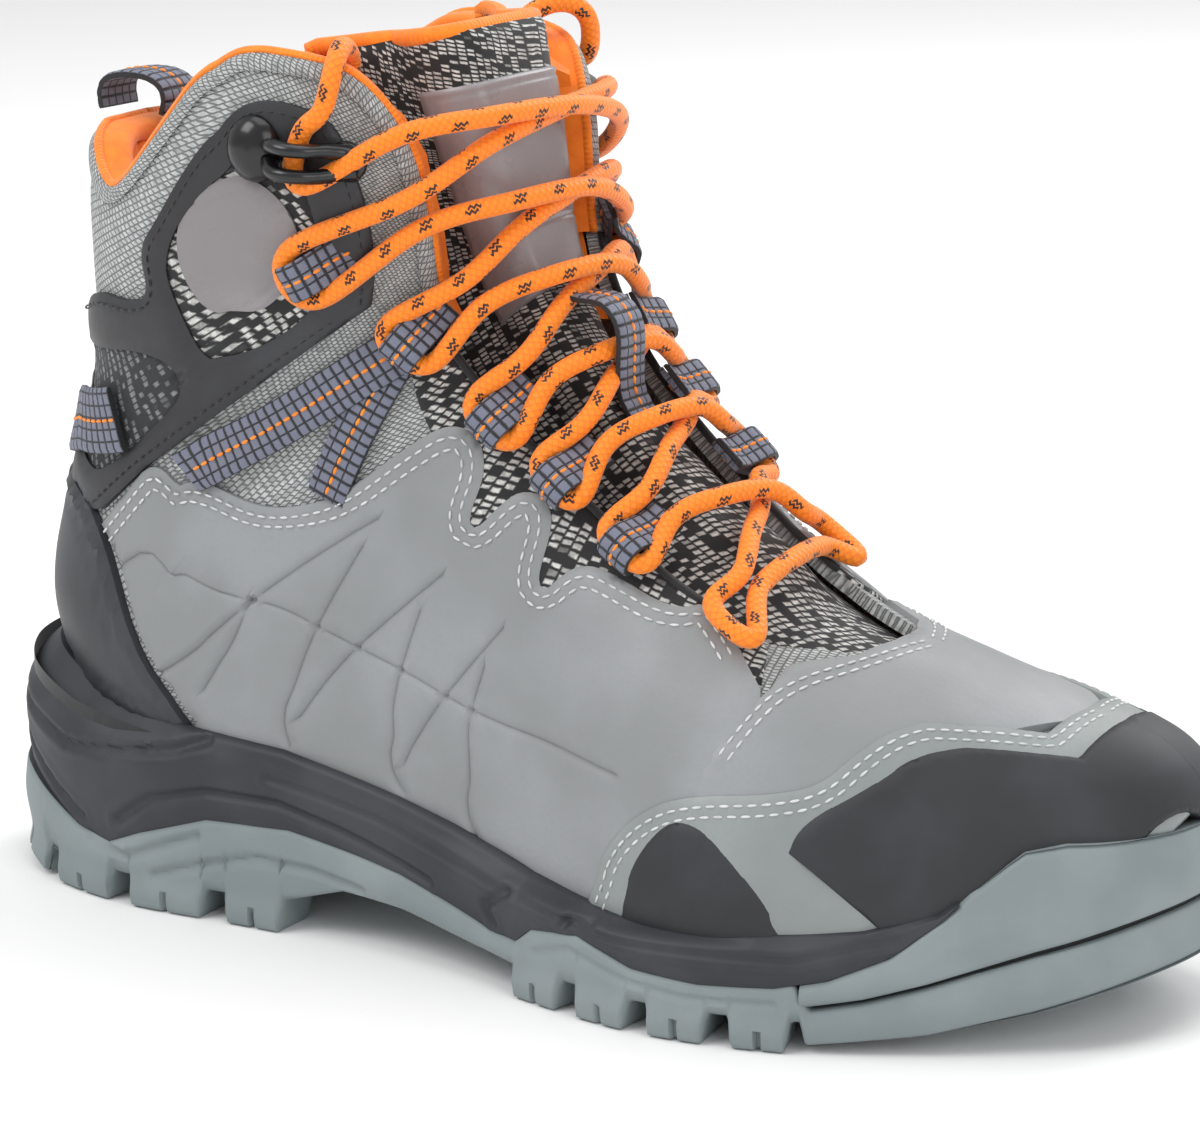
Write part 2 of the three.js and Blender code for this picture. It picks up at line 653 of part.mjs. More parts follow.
HALVES.forEach(([name, side, half]) => {
  const overlay = overlaySheet
    .intersect(prismOn(side, OVERLAY))
    .subtract(prismOn(side, OVERLAY_WINDOW))
    .subtract(prismOn(side, OVERLAY_REAR_WINDOW))
    .intersect(half);
  add(`ankle_overlay_${name}`, overlay, COLOURS.rubberBlack, 0.6);
  const badge = layer(LAYER.badge)
    .intersect(prismOn(side, smoothLoop(BADGE, 2)))
    .intersect(prismOn(side, shrunk(OVERLAY_WINDOW, SEAM)))
    .intersect(half);
  add(`ankle_badge_${name}`, badge, COLOURS.badge, 0.6);
});

// ---------------------------------------------------------------- tongue
const TONGUE_FROM = 5.5;     // station of the tongue's stitched base
const TONGUE_TO = 14.85;
const TONGUE_STEPS = 12;
const TONGUE_ACROSS = 12;
const TONGUE_THICK = 5;
const TONGUE_CROWN = -1.4;   // offset of the tongue's face along the ridge
const TONGUE_CENTRE = -0.062;   // the tongue follows the throat towards the lateral side
const TONGUE_EDGE = [-6.5, -15.6];  // offset of its edges, under the throat and inside the collar
const TONGUE_BINDING = 0.6;  // how far the binding stands proud of the tongue's faces

function tongueHalfWidth(u) {
  // share of the way round the last that the tongue covers on each side of the ridge
  return 0.26 + 0.26 * u;
}

function tongueCentre(u) {
  return TONGUE_CENTRE * THREE.MathUtils.smoothstep(u, 0, 0.2);
}

function tongueOffset(u, across) {
  const collar = THREE.MathUtils.smoothstep(u, 0.1, 0.3);
  const edge = TONGUE_EDGE[0] + (TONGUE_EDGE[1] - TONGUE_EDGE[0]) * collar;
  const share = THREE.MathUtils.smoothstep(Math.abs(across), 0.12, 0.5);
  return TONGUE_CROWN + (edge - TONGUE_CROWN) * share;
}

function tongueTop(across) {
  return TONGUE_TO + 0.3 * across * across;
}

// closed pad over part of the tongue: u runs up it, across runs from edge to edge
function tonguePad([uFrom, uTo], [acrossFrom, acrossTo], outer, inner, steps, widthSteps) {
  const faces = [outer, inner].map((lift) => {
    const rows = [];
    for (let i = 0; i <= steps; i += 1) {
      const u = uFrom + (uTo - uFrom) * i / steps;
      const row = [];
      for (let j = 0; j <= widthSteps; j += 1) {
        const across = acrossFrom + (acrossTo - acrossFrom) * j / widthSteps;
        const s = TONGUE_FROM + (tongueTop(across) - TONGUE_FROM) * u;
        const t = tongueCentre(u) + across * tongueHalfWidth(u);
        row.push(offsetPoint(s, t, tongueOffset(u, across) + lift));
      }
      rows.push(row);
    }
    return rows;
  });
  const rings = faces[0].map((row, i) => [...row, ...faces[1][i].slice().reverse()]);
  return ringSkin(rings, stripCap);
}

const WHOLE = [-1, 1];
const tongueBack = -TONGUE_THICK;
add('tongue', tonguePad([0, 1], WHOLE, 0, tongueBack, TONGUE_STEPS, TONGUE_ACROSS), COLOURS.knitDark);
add(
  'tongue_binding',
  tonguePad([1.004, 1.02], WHOLE, TONGUE_BINDING, tongueBack - TONGUE_BINDING, 2, TONGUE_ACROSS),
  COLOURS.orange,
);

// a patch on the tongue's face; its rows are whole steps of the tongue's own grid
function tonguePatch([rowFrom, rowTo], halfWidth, columns, thick) {
  const up = [rowFrom / TONGUE_STEPS, rowTo / TONGUE_STEPS];
  const across = [-halfWidth, halfWidth];
  const slab = tonguePad(up, across, GAP + thick, -2, rowTo - rowFrom, columns);
  return slab.subtract(tonguePad([0, 1], WHOLE, GAP, tongueBack, TONGUE_STEPS, TONGUE_ACROSS));
}

add('tongue_badge', tonguePatch([5, 11], 0.34, 4, 1), COLOURS.badge, 0.5);
add('tongue_keeper', tonguePatch([3, 4], 1 / 6, 2, 1.4), COLOURS.webbing);

// ---------------------------------------------------------------- lace loops and hooks
const LOOP = { width: 11.6, height: 8.8, length: 6.4, wall: 1 };
const LOOP_LIFT = 6.6;       // height of the lace's line over the last
const HOOK_PLATE = { length: 16, width: 12, thick: 1.4, lift: 2 };
const PLATE_SHIFT = -3;      // the plate's middle stands this far behind the lace's line
const HOOK_RIVET = { radius: 2.6, height: 1, back: 8 };

// frames on one side of the boot: origin over the last, along runs up the throat's edge,
// out points away from the foot, across points away from the throat
function laceFrame(index, side) {
  const anchors = [...LACE_ANCHORS, HOOK_ANCHOR];
  const here = onSide(...anchors[index], side, 0);
  const before = onSide(...anchors[Math.max(index - 1, 0)], side, 0).point;
  const after = onSide(...anchors[Math.min(index + 1, anchors.length - 1)], side, 0).point;
  const out = here.normal;
  const along = after.sub(before).normalize();
  const across = along.clone().cross(out).normalize().multiplyScalar(-side);
  along.addScaledVector(out, -along.dot(out)).normalize();
  return { origin: here.point, along, out, across };
}

function place(geometry, frame, lift) {
  const basis = new THREE.Matrix4().makeBasis(frame.across, frame.out, frame.across.clone().cross(frame.out));
  geometry.applyMatrix4(basis);
  const at = frame.origin.clone().addScaledVector(frame.out, lift);
  geometry.translate(at.x, at.y, at.z);
  return solidOf(geometry);
}

function ellipse(halfWidth, halfHeight) {
  const shape = new THREE.Shape();
  shape.absellipse(0, 0, halfWidth, halfHeight, 0, 2 * Math.PI);
  return shape;
}

function makeLaceLoop(frame) {
  const shape = ellipse(LOOP.width / 2, LOOP.height / 2);
  shape.holes.push(ellipse(LOOP.width / 2 - LOOP.wall, LOOP.height / 2 - LOOP.wall));
  const options = { depth: LOOP.length, bevelEnabled: false, curveSegments: 5 };
  const geometry = new THREE.ExtrudeGeometry(shape, options);
  geometry.translate(0, 0, -LOOP.length / 2);
  return place(geometry, frame, LOOP_LIFT);
}

// an open hook: a post stands on the plate, an arm reaches over the lace and turns down
// at its tip; across is measured from the lace's line, height from the plate's foot
const HOOK_ARM = { back: -5.4, front: 4.6, post: 1.5, lip: 1.4, under: 8, over: 9.4, tip: 7.3, width: 7 };

function makeHook(frame) {
  const { length, width, thick, lift } = HOOK_PLATE;
  const plate = new THREE.BoxGeometry(length, thick, width);
  plate.translate(PLATE_SHIFT, thick / 2, 0);
  const { back, front, post, lip, under, over, tip } = HOOK_ARM;
  const rooted = thick - 0.2;
  const arm = new THREE.Shape();
  arm.moveTo(back, rooted);
  arm.lineTo(back + post, rooted);
  arm.lineTo(back + post, under);
  arm.lineTo(front - lip, under);
  arm.lineTo(front - lip, tip);
  arm.lineTo(front, tip);
  arm.lineTo(front, over);
  arm.lineTo(back + lip, over);
  arm.lineTo(back, over - 1);
  const armGeometry = new THREE.ExtrudeGeometry(arm, { depth: HOOK_ARM.width, bevelEnabled: false });
  armGeometry.translate(0, 0, -HOOK_ARM.width / 2);
  return place(plate, frame, lift).add(place(armGeometry, frame, lift));
}

function makeRivet(frame) {
  const { radius, height, back } = HOOK_RIVET;
  const rivet = new THREE.CylinderGeometry(radius * 0.8, radius, height, 10);
  rivet.translate(-back, HOOK_PLATE.thick + GAP + height / 2, 0);
  return place(rivet, frame, HOOK_PLATE.lift);
}

HALVES.forEach(([name, side]) => {
  for (let i = 1; i <= LOOP_COUNT; i += 1) {
    add(`lace_loop_${name}_${i}`, makeLaceLoop(laceFrame(i, side)), COLOURS.webbing);
  }
  const hookFrame = laceFrame(LOOP_COUNT + 1, side);
  add(`lace_hook_${name}`, makeHook(hookFrame), COLOURS.plastic, 0.4);
  add(`hook_rivet_${name}`, makeRivet(hookFrame), COLOURS.steel, 0.3, 0.9);
});

// webbing that fans down from the fourth loop to the quarter's top edge
const V_STRAP = [
  [-30, 143], [-33, 136.5], [-41, 109], [-48, 107.5], [-38.5, 131.5], [-80, 103], [-86, 108.5], [-38, 142.5],
];
HALVES.forEach(([name, side, half]) => {
  const strap = overlaySheet
    .intersect(prismOn(side, V_STRAP))
    .subtract(prismOn(side, QUARTER).translate([0, 0, SEAM]))
    .intersect(half);
  add(`v_strap_${name}`, strap, COLOURS.webbing);
});

// ---------------------------------------------------------------- heel webbing
// pull loop: a folded strap standing on the collar's back edge, sewn down at its foot
const PULL_LOOP = { back: -130, front: -112, foot: 184.5, top: 193.5, wall: 1.5, halfWidth: 7 };

function makePullLoop() {
  const { back, front, foot, top, wall, halfWidth } = PULL_LOOP;
  const shoulder = top - 3;
  const middle = (back + front) / 2;
  const outer = smoothLoop([[back, foot], [back, shoulder], [middle, top], [front, shoulder], [front, foot]]);
  const ring = sidePrism(outer, CENTRE_Y - halfWidth, CENTRE_Y + halfWidth);
  return ring.subtract(sidePrism(shrunk(outer, wall), -FAR, FAR));
}

function makeRearTab() {
  const tab = sidePrism([[-170, 104], [-120, 104], [-120, 122], [-170, 122]], CENTRE_Y - 8, CENTRE_Y + 8);
  return layer([2, 3.4]).intersect(tab);
}

add('heel_pull_loop', makePullLoop(), COLOURS.webbing);
add('rear_webbing_tab', makeRearTab(), COLOURS.webbing);

// ---------------------------------------------------------------- lace
const LACE_SIDES = 8;
const CROSS_UNDER = 4.2;     // height of a crossing strand over the ridge of the last
const CROSS_OVER = 9.8;
const STRAND_LIFT = 6.2;     // height of a strand half way between the ridge and a loop
const LOOP_REACH = 9.8;      // half the straight run through a loop
// a lace end goes over the collar's front corner and down inside it: x, z and offset
const TUCK = [
  [-39, 197, 6.4], [-37, 208.5, 4], [-37, 212, -4], [-38, 206, -12.6], [-41, 190, -12.6],
  [-45, 172, -12.6], [-49, 154, -12.6],
];

// a curve that an extrusion samples at its own points, close together at the loops
class LacePath extends THREE.CatmullRomCurve3 {
  getSpacedPoints(divisions) {
    return this.getPoints(divisions);
  }

  getTangentAt(u) {
    return this.getTangent(u);
  }
}

function throughLoop(index, side, upwards) {
  const frame = laceFrame(index, side);
  const centre = frame.origin.clone().addScaledVector(frame.out, LOOP_LIFT);
  const sign = upwards ? 1 : -1;
  const entry = centre.clone().addScaledVector(frame.along, -sign * LOOP_REACH);
  const exit = centre.clone().addScaledVector(frame.along, sign * LOOP_REACH);
  return [entry, exit];
}

// a point of a strand that crosses the throat at a level between two anchors; share runs
// from -1 at the lateral anchors through 0 at the ridge to +1 at the medial ones
function throatPoint(level, share, lift) {
  const anchors = [...LACE_ANCHORS, HOOK_ANCHOR];
  const lower = findPaired(...anchors[Math.floor(level)], Math.sign(share));
  const upper = findPaired(...anchors[Math.ceil(level)], Math.sign(share));
  const f = level - Math.floor(level);
  const s = THREE.MathUtils.lerp(lower.s, upper.s, f);
  const t = THREE.MathUtils.lerp(lower.t, upper.t, f);
  return offsetPoint(s, Math.abs(t) * share, lift);
}

function tuckedEnd(side) {
  return TUCK.map(([x, z, depth]) => onSide(x, z, side, depth).point);
}

// one zigzag over the throat: from the bottom bar up to a hook and over the collar
function laceHalf(firstSide, lift) {
  const points = [];
  let side = firstSide;
  for (let level = 1; level <= LOOP_COUNT + 1; level += 1) {
    const height = lift(level);
    const between = (height + STRAND_LIFT) / 2;
    const lateral = [[-2 / 3, STRAND_LIFT], [-1 / 3, between]];
    const medial = level < LOOP_COUNT + 1 ? [[0.45, between + 1]] : [[1 / 3, between], [2 / 3, STRAND_LIFT]];
    const strand = [...lateral, [0, height], ...medial];
    if (side < 0) strand.reverse();
    strand.forEach(([share, rise]) => points.push(throatPoint(level - 0.5 + side * share / 2, share, rise)));
    points.push(...throughLoop(level, side, true));
    side = -side;
  }
  points.push(...tuckedEnd(-side));
  return points;
}

function makeLace() {
  const lateralBottom = throughLoop(0, -1, false);
  const medialBottom = throughLoop(0, 1, true);
  const under = (level) => (level % 2 ? CROSS_UNDER : CROSS_OVER);
  const over = (level) => (level % 2 ? CROSS_OVER : CROSS_UNDER);
  const first = laceHalf(1, under).reverse();
  const second = laceHalf(-1, over);
  const bar = [-2 / 3, -1 / 3, 0, 1 / 3, 2 / 3].map((share) => throatPoint(0, share, CROSS_UNDER));
  const path = new LacePath([...first, ...lateralBottom, ...bar, ...medialBottom, ...second]);
  const section = new THREE.Shape();
  for (let i = 0; i < LACE_SIDES; i += 1) {
    const angle = 2 * Math.PI * i / LACE_SIDES;
    const corner = [LACE_RADIUS * Math.cos(angle), LACE_RADIUS * Math.sin(angle)];
    if (i === 0) section.moveTo(...corner);
    else section.lineTo(...corner);
  }
  const steps = path.points.length - 1;
  return solidOf(new THREE.ExtrudeGeometry(section, { steps, bevelEnabled: false, extrudePath: path }));
}

add('lace', makeLace(), COLOURS.orange);

export default boot;
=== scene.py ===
# Looks of the hiking boot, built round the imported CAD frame. Lengths are written in millimetres
# and turned into metres when a mesh is made. The upper is drawn on the chart (s, t) of the last:
# s is the station from toe to collar, t runs from -1 (lateral sole or heel back) through
# 0 (front ridge) to +1 (medial sole or heel back).
import math

import bmesh
import bpy
import numpy as np
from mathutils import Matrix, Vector
from mathutils.geometry import delaunay_2d_cdt


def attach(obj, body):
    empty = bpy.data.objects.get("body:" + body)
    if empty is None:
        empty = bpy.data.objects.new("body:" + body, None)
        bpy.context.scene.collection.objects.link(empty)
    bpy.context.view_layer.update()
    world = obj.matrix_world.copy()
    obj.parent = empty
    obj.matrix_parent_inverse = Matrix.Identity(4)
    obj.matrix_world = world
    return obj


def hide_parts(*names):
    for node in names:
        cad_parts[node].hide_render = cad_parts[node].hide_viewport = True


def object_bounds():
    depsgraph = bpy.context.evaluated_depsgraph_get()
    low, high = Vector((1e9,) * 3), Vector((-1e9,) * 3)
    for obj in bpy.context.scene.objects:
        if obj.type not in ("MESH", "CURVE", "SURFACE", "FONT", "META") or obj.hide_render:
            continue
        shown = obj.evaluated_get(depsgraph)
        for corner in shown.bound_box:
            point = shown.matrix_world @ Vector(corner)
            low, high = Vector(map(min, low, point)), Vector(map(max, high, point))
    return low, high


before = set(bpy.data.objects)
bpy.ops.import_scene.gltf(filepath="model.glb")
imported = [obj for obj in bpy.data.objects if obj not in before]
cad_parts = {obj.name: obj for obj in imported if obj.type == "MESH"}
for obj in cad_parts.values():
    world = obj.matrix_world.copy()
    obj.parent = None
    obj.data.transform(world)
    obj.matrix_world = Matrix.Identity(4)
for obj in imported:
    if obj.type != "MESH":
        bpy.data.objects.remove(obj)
CAD_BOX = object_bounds()
MM = 0.001

# ---------------------------------------------------------------- the last
STATIONS = np.array([
    [149, 36, 149, 28, 7, 7, 0.50, 2.0, 2.0, 17],
    [146, 50, 146, 22, 18, 17, 0.35, 2.3, 2.5, 17],
    [136, 60, 136, 18, 28, 26, 0.30, 2.4, 3.0, 15],
    [118, 67, 118, 16, 37, 35, 0.28, 2.4, 3.5, 11],
    [95, 75, 95, 15, 46, 43, 0.25, 2.2, 4.0, 6],
    [70, 86, 66, 15, 51, 45, 0.22, 2.1, 4.0, 2],
    [48, 102, 36, 16, 49, 41, 0.20, 2.1, 4.0, 1],
    [28, 119, 2, 20, 42, 37, 0.20, 2.2, 4.0, 2],
    [13, 135, -40, 27, 38, 36, 0.22, 2.3, 4.0, 2],
    [4, 149, -86, 30, 38, 37, 0.25, 2.5, 3.2, 2],
    [-1, 160, -122, 33, 38, 38, 0.30, 2.7, 2.5, 2],
    [-4, 169, -140, 58, 38, 39, 0.40, 2.9, 2.2, 2],
    [-6, 178, -136, 88, 40, 40, 0.47, 3.0, 2.3, 2],
    [-8, 188, -127, 117, 43, 42, 0.50, 3.0, 2.4, 2],
    [-11, 200, -124, 146, 45, 44, 0.50, 3.0, 2.5, 2],
    [-14, 214, -124, 178, 46, 46, 0.50, 3.0, 2.5, 2],
    [-17, 228, -124, 210, 47, 47, 0.50, 3.0, 2.5, 2],
], float)
LAST_TOP = len(STATIONS) - 1
WIDEST = 0.35
CHART = np.array([24.0, 140.0])      # rough millimetres per unit of s and t
CENTRE_Y = 2.0


def station(s):
    s = np.clip(np.asarray(s, float), 0, LAST_TOP - 1e-9)
    i = np.floor(s).astype(int)
    f = (s - i)[:, None]
    p0, p1 = STATIONS[np.maximum(i - 1, 0)], STATIONS[i]
    p2, p3 = STATIONS[i + 1], STATIONS[np.minimum(i + 2, LAST_TOP)]
    return (2 * p1 + (p2 - p0) * f + (2 * p0 - 5 * p1 + 4 * p2 - p3) * f ** 2
            + (3 * p1 - p0 - 3 * p2 + p3) * f ** 3) / 2


def last(st):
    st = np.asarray(st, float).reshape(-1, 2)
    s, t = st[:, 0], st[:, 1]
    t = np.where(t > 1, t - 2, np.where(t < -1, t + 2, t))
    front_x, front_z, back_x, back_z, lat, med, widest, upper, lower, cy = station(s).T
    up = 1 - np.abs(t)
    low = np.clip(up / WIDEST, 0, 1) * np.pi / 2
    high = np.clip((1 - up) / (1 - WIDEST), 0, 1) * np.pi / 2
    below = up < WIDEST
    across = np.where(below, np.sin(low) ** (2 / lower), np.sin(high) ** (2 / upper))
    cos_low, cos_high = np.clip(np.cos(low), 0, 1), np.clip(np.cos(high), 0, 1)
    along = np.where(below, widest * (1 - cos_low ** (2 / lower)),
                     widest + (1 - widest) * cos_high ** (2 / upper))
    side = np.where(t < 0, -lat, med)
    return np.stack([back_x + (front_x - back_x) * along, cy + side * across,
                     back_z + (front_z - back_z) * along], 1)


def slopes(st, step=0.02):
    st = np.asarray(st, float).reshape(-1, 2)
    ds, dt = np.array([step, 0]), np.array([0, step])
    lo, hi = st - ds, st + ds
    lo[:, 0] = np.maximum(lo[:, 0], 0)
    hi[:, 0] = np.minimum(hi[:, 0], LAST_TOP)
    ps = (last(hi) - last(lo)) / (hi[:, 0] - lo[:, 0])[:, None]
    pt = (last(st + dt) - last(st - dt)) / (2 * step)
    return ps, pt


def unit(v):
    return v / np.maximum(np.linalg.norm(v, axis=-1, keepdims=True), 1e-9)


def normals(st):
    ps, pt = slopes(st)
    return unit(np.cross(pt, ps))


def skin(st, offset):
    st = np.asarray(st, float).reshape(-1, 2)
    return last(st) + normals(st) * np.asarray(offset, float).reshape(-1, 1)


GRID = {}


def find(xz, side):
    """(s, t) of points of one side given in the side elevation."""
    xz = np.asarray(xz, float).reshape(-1, 2)
    if side not in GRID:
        s, t = np.meshgrid(np.linspace(0, LAST_TOP, 321), side * np.linspace(0.01, 0.99, 99), indexing="ij")
        st = np.stack([s.ravel(), t.ravel()], 1)
        GRID[side] = (st, last(st)[:, [0, 2]])
    st_all, xz_all = GRID[side]
    nearest = [np.argmin(((xz_all - p) ** 2).sum(1)) for p in xz]
    st = st_all[nearest].copy()
    for _ in range(6):
        here = last(st)[:, [0, 2]]
        ps, pt = slopes(st, 0.005)
        a, b, c, d = ps[:, 0], pt[:, 0], ps[:, 2], pt[:, 2]
        det = a * d - b * c
        det = np.where(np.abs(det) < 30, np.sign(det) * 30 + (det == 0) * 30, det)
        e = xz - here
        step = np.stack([(d * e[:, 0] - b * e[:, 1]) / det, (a * e[:, 1] - c * e[:, 0]) / det], 1)
        trial = st + np.clip(step, -0.03, 0.03)
        trial[:, 0] = np.clip(trial[:, 0], 0, LAST_TOP)
        trial[:, 1] = side * np.clip(side * trial[:, 1], 0.004, 1.0)
        better = np.hypot(*(last(trial)[:, [0, 2]] - xz).T) < np.hypot(*(here - xz).T)
        st[better] = trial[better]
    return st


def moved(st, vectors):
    """(s, t) after a small move of each point by a vector in space."""
    ps, pt = slopes(st)
    a, b, c = (ps * ps).sum(1), (ps * pt).sum(1), (pt * pt).sum(1)
    e, f = (ps * vectors).sum(1), (pt * vectors).sum(1)
    det = np.maximum(a * c - b * b, 1e-6)
    return st + np.stack([(c * e - b * f) / det, (a * f - b * e) / det], 1)


# ---------------------------------------------------------------- lines on the chart
def resample(line, gap, closed=False):
    """Points about gap mm apart along a line of the chart, measured on the last."""
    line = np.asarray(line, float)
    if closed:
        line = np.vstack([line, line[:1]])
    size = np.linalg.norm(np.diff(line, axis=0) * CHART, axis=1)
    fine = [line[:1]]
    for k, length in enumerate(size):
        n = max(int(math.ceil(length / 0.8)), 1)
        f = np.arange(1, n + 1)[:, None] / n
        fine.append(line[k] + (line[k + 1] - line[k]) * f)
    fine = np.vstack(fine)
    run = np.concatenate([[0], np.cumsum(np.linalg.norm(np.diff(last(fine), axis=0), axis=1))])
    n = max(int(round(run[-1] / gap)), 2)
    want = np.linspace(0, run[-1], n + 1)
    out = np.stack([np.interp(want, run, fine[:, 0]), np.interp(want, run, fine[:, 1])], 1)
    return out[:-1] if closed else out


def cut_corners(line, closed=False, rounds=2, share=0.25):
    line = np.asarray(line, float)
    for _ in range(rounds):
        after = np.roll(line, -1, axis=0) if closed else line[1:]
        here = line if closed else line[:-1]
        new = np.stack([here + (after - here) * share, after - (after - here) * share], 1).reshape(-1, 2)
        line = new if closed else np.vstack([line[:1], new[1:-1], line[-1:]])
    return line


def beside(line, distance, closed=False):
    """A line beside another one; a positive distance is to the left of its run, seen from outside."""
    line = np.asarray(line, float)
    p = last(line)
    if closed:
        along = np.roll(p, -1, 0) - np.roll(p, 1, 0)
    else:
        along = np.gradient(p, axis=0)
    left = unit(np.cross(normals(line), unit(along)))
    return moved(line, left * distance)


THROAT_SHIFT = 0.155


def mirror(line):
    """The medial counterpart of a lateral line. The throat lies off the ridge, towards the lateral
    side, so that round the front the medial line reaches further."""
    out = np.array(line, float)
    far = np.abs(out[:, 1])
    shift = THROAT_SHIFT * (1 - smoothstep(far, 0.36, 0.75)) * smoothstep(out[:, 0], 4, 6)
    out[:, 1] = -out[:, 1] - np.sign(-out[:, 1]) * shift * smoothstep(far, 0, 0.1)
    return out


def inside(points, loop):
    x, y = points[:, 0], points[:, 1]
    hit = np.zeros(len(points), bool)
    for (x0, y0), (x1, y1) in zip(loop, np.roll(loop, -1, 0)):
        cross = (y0 > y) != (y1 > y)
        if cross.any():
            at = x0 + (y - y0) / ((y1 - y0) or 1e-12) * (x1 - x0)
            hit ^= cross & (x < at)
    return hit


def distance_to(points, line, closed=False):
    """Shortest distance of space points to a space polyline."""
    a = line if closed else line[:-1]
    b = np.roll(line, -1, 0) if closed else line[1:]
    best = np.full(len(points), 1e9)
    for start in range(0, len(points), 4000):
        p = points[start:start + 4000, None, :]
        ab = (b - a)[None]
        f = np.clip(((p - a[None]) * ab).sum(2) / np.maximum((ab ** 2).sum(2), 1e-9), 0, 1)
        d = np.linalg.norm(p - (a[None] + ab * f[..., None]), axis=2)
        best[start:start + 4000] = d.min(1)
    return best


def smoothstep(x, lo, hi):
    f = np.clip((np.asarray(x, float) - lo) / (hi - lo), 0, 1)
    return f * f * (3 - 2 * f)


# ---------------------------------------------------------------- meshes
def mesh_piece(name, verts, faces, material, body="boot", uv=None, replaces=(), slot=None, sharp=None):
    """A piece of the object from points in mm. uv is one pair of mm values for each point."""
    mesh = bpy.data.meshes.new(name)
    mesh.from_pydata((np.asarray(verts, float) * MM).tolist(), [], [list(map(int, f)) for f in faces])
    mesh.polygons.foreach_set("use_smooth", [True] * len(mesh.polygons))
    if sharp:
        mesh.set_sharp_from_angle(angle=math.radians(sharp))
    layer = mesh.uv_layers.new(name="UVMap")
    flat = np.asarray(verts, float)[:, :2] if uv is None else np.asarray(uv, float)
    corners = np.zeros(len(mesh.loops), int)
    mesh.loops.foreach_get("vertex_index", corners)
    layer.data.foreach_set("uv", flat[corners].ravel())
    mesh.materials.append(material)
    obj = bpy.data.objects.new(name, mesh)
    bpy.context.scene.collection.objects.link(obj)
    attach(obj, body)
    if replaces:
        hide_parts(*replaces)
    return obj


def quads(rows, columns):
    """Faces of a grid of points that is stored row after row."""
    return [[i * columns + j, i * columns + j + 1, (i + 1) * columns + j + 1, (i + 1) * columns + j]
            for i in range(rows - 1) for j in range(columns - 1)]


def ring_quads(rings, sides):
    """Faces between closed rings of points that are stored ring after ring."""
    return [[k * sides + j, k * sides + (j + 1) % sides, (k + 1) * sides + (j + 1) % sides,
             (k + 1) * sides + j] for k in range(rings - 1) for j in range(sides)]


def joined(parts):
    """One (verts, faces, uv) from several."""
    verts, faces, uvs, base = [], [], [], 0
    for v, f, uv in parts:
        verts.append(v)
        uvs.append(uv)
        faces += [[i + base for i in face] for face in f]
        base += len(v)
    return np.vstack(verts), faces, np.vstack(uvs)


def fill(outline, holes=(), lines=(), gap=1.8):
    """Triangulated region of the chart: (points, faces), faces facing outwards on the last."""
    points, edges, loops = [], [], [outline, *holes]
    for loop in loops:
        base, n = len(points), len(loop)
        points += list(loop * CHART)
        edges += [(base + k, base + (k + 1) % n) for k in range(n)]
    for line in lines:
        base, n = len(points), len(line)
        points += list(line * CHART)
        edges += [(base + k, base + k + 1) for k in range(n - 1)]
    fixed = np.array(points)
    lo, hi = (outline * CHART).min(0), (outline * CHART).max(0)
    rows = np.arange(lo[1], hi[1], gap * 0.866)
    grid = []
    for k, y in enumerate(rows):
        row = np.arange(lo[0] + (k % 2) * gap / 2, hi[0], gap)
        grid.append(np.stack([row, np.full(len(row), y)], 1))
    grid = np.vstack(grid)
    keep = inside(grid, outline * CHART)
    for hole in holes:
        keep &= ~inside(grid, hole * CHART)
    grid = grid[keep]
    clear = np.ones(len(grid), bool)
    for start in range(0, len(grid), 2000):
        block = grid[start:start + 2000, None, :] - fixed[None]
        clear[start:start + 2000] = (block ** 2).sum(2).min(1) > (0.6 * gap) ** 2
    grid = grid[clear]
    everything = np.vstack([fixed, grid])
    out = delaunay_2d_cdt([Vector(p) for p in everything], edges, [], 1, 1e-4)
    verts = np.array([tuple(v) for v in out[0]])
    faces = np.array([f for f in out[2] if len(f) == 3])
    middle = verts[faces].mean(1)
    keep = inside(middle, outline * CHART)
    for hole in holes:
        keep &= ~inside(middle, hole * CHART)
    faces = faces[keep]
    a, b, c = verts[faces[:, 0]], verts[faces[:, 1]], verts[faces[:, 2]]
    area = (b[:, 0] - a[:, 0]) * (c[:, 1] - a[:, 1]) - (b[:, 1] - a[:, 1]) * (c[:, 0] - a[:, 0])
    faces[area > 0] = faces[area > 0][:, ::-1]
    used, inverse = np.unique(faces, return_inverse=True)
    return verts[used] / CHART, inverse.reshape(-1, 3)


def open_edges(faces):
    """Directed edges with a face on one side only."""
    seen = {}
    for f in faces:
        for k in range(3):
            a, b = int(f[k]), int(f[(k + 1) % 3])
            if (b, a) in seen:
                del seen[(b, a)]
            else:
                seen[(a, b)] = True
    return list(seen)


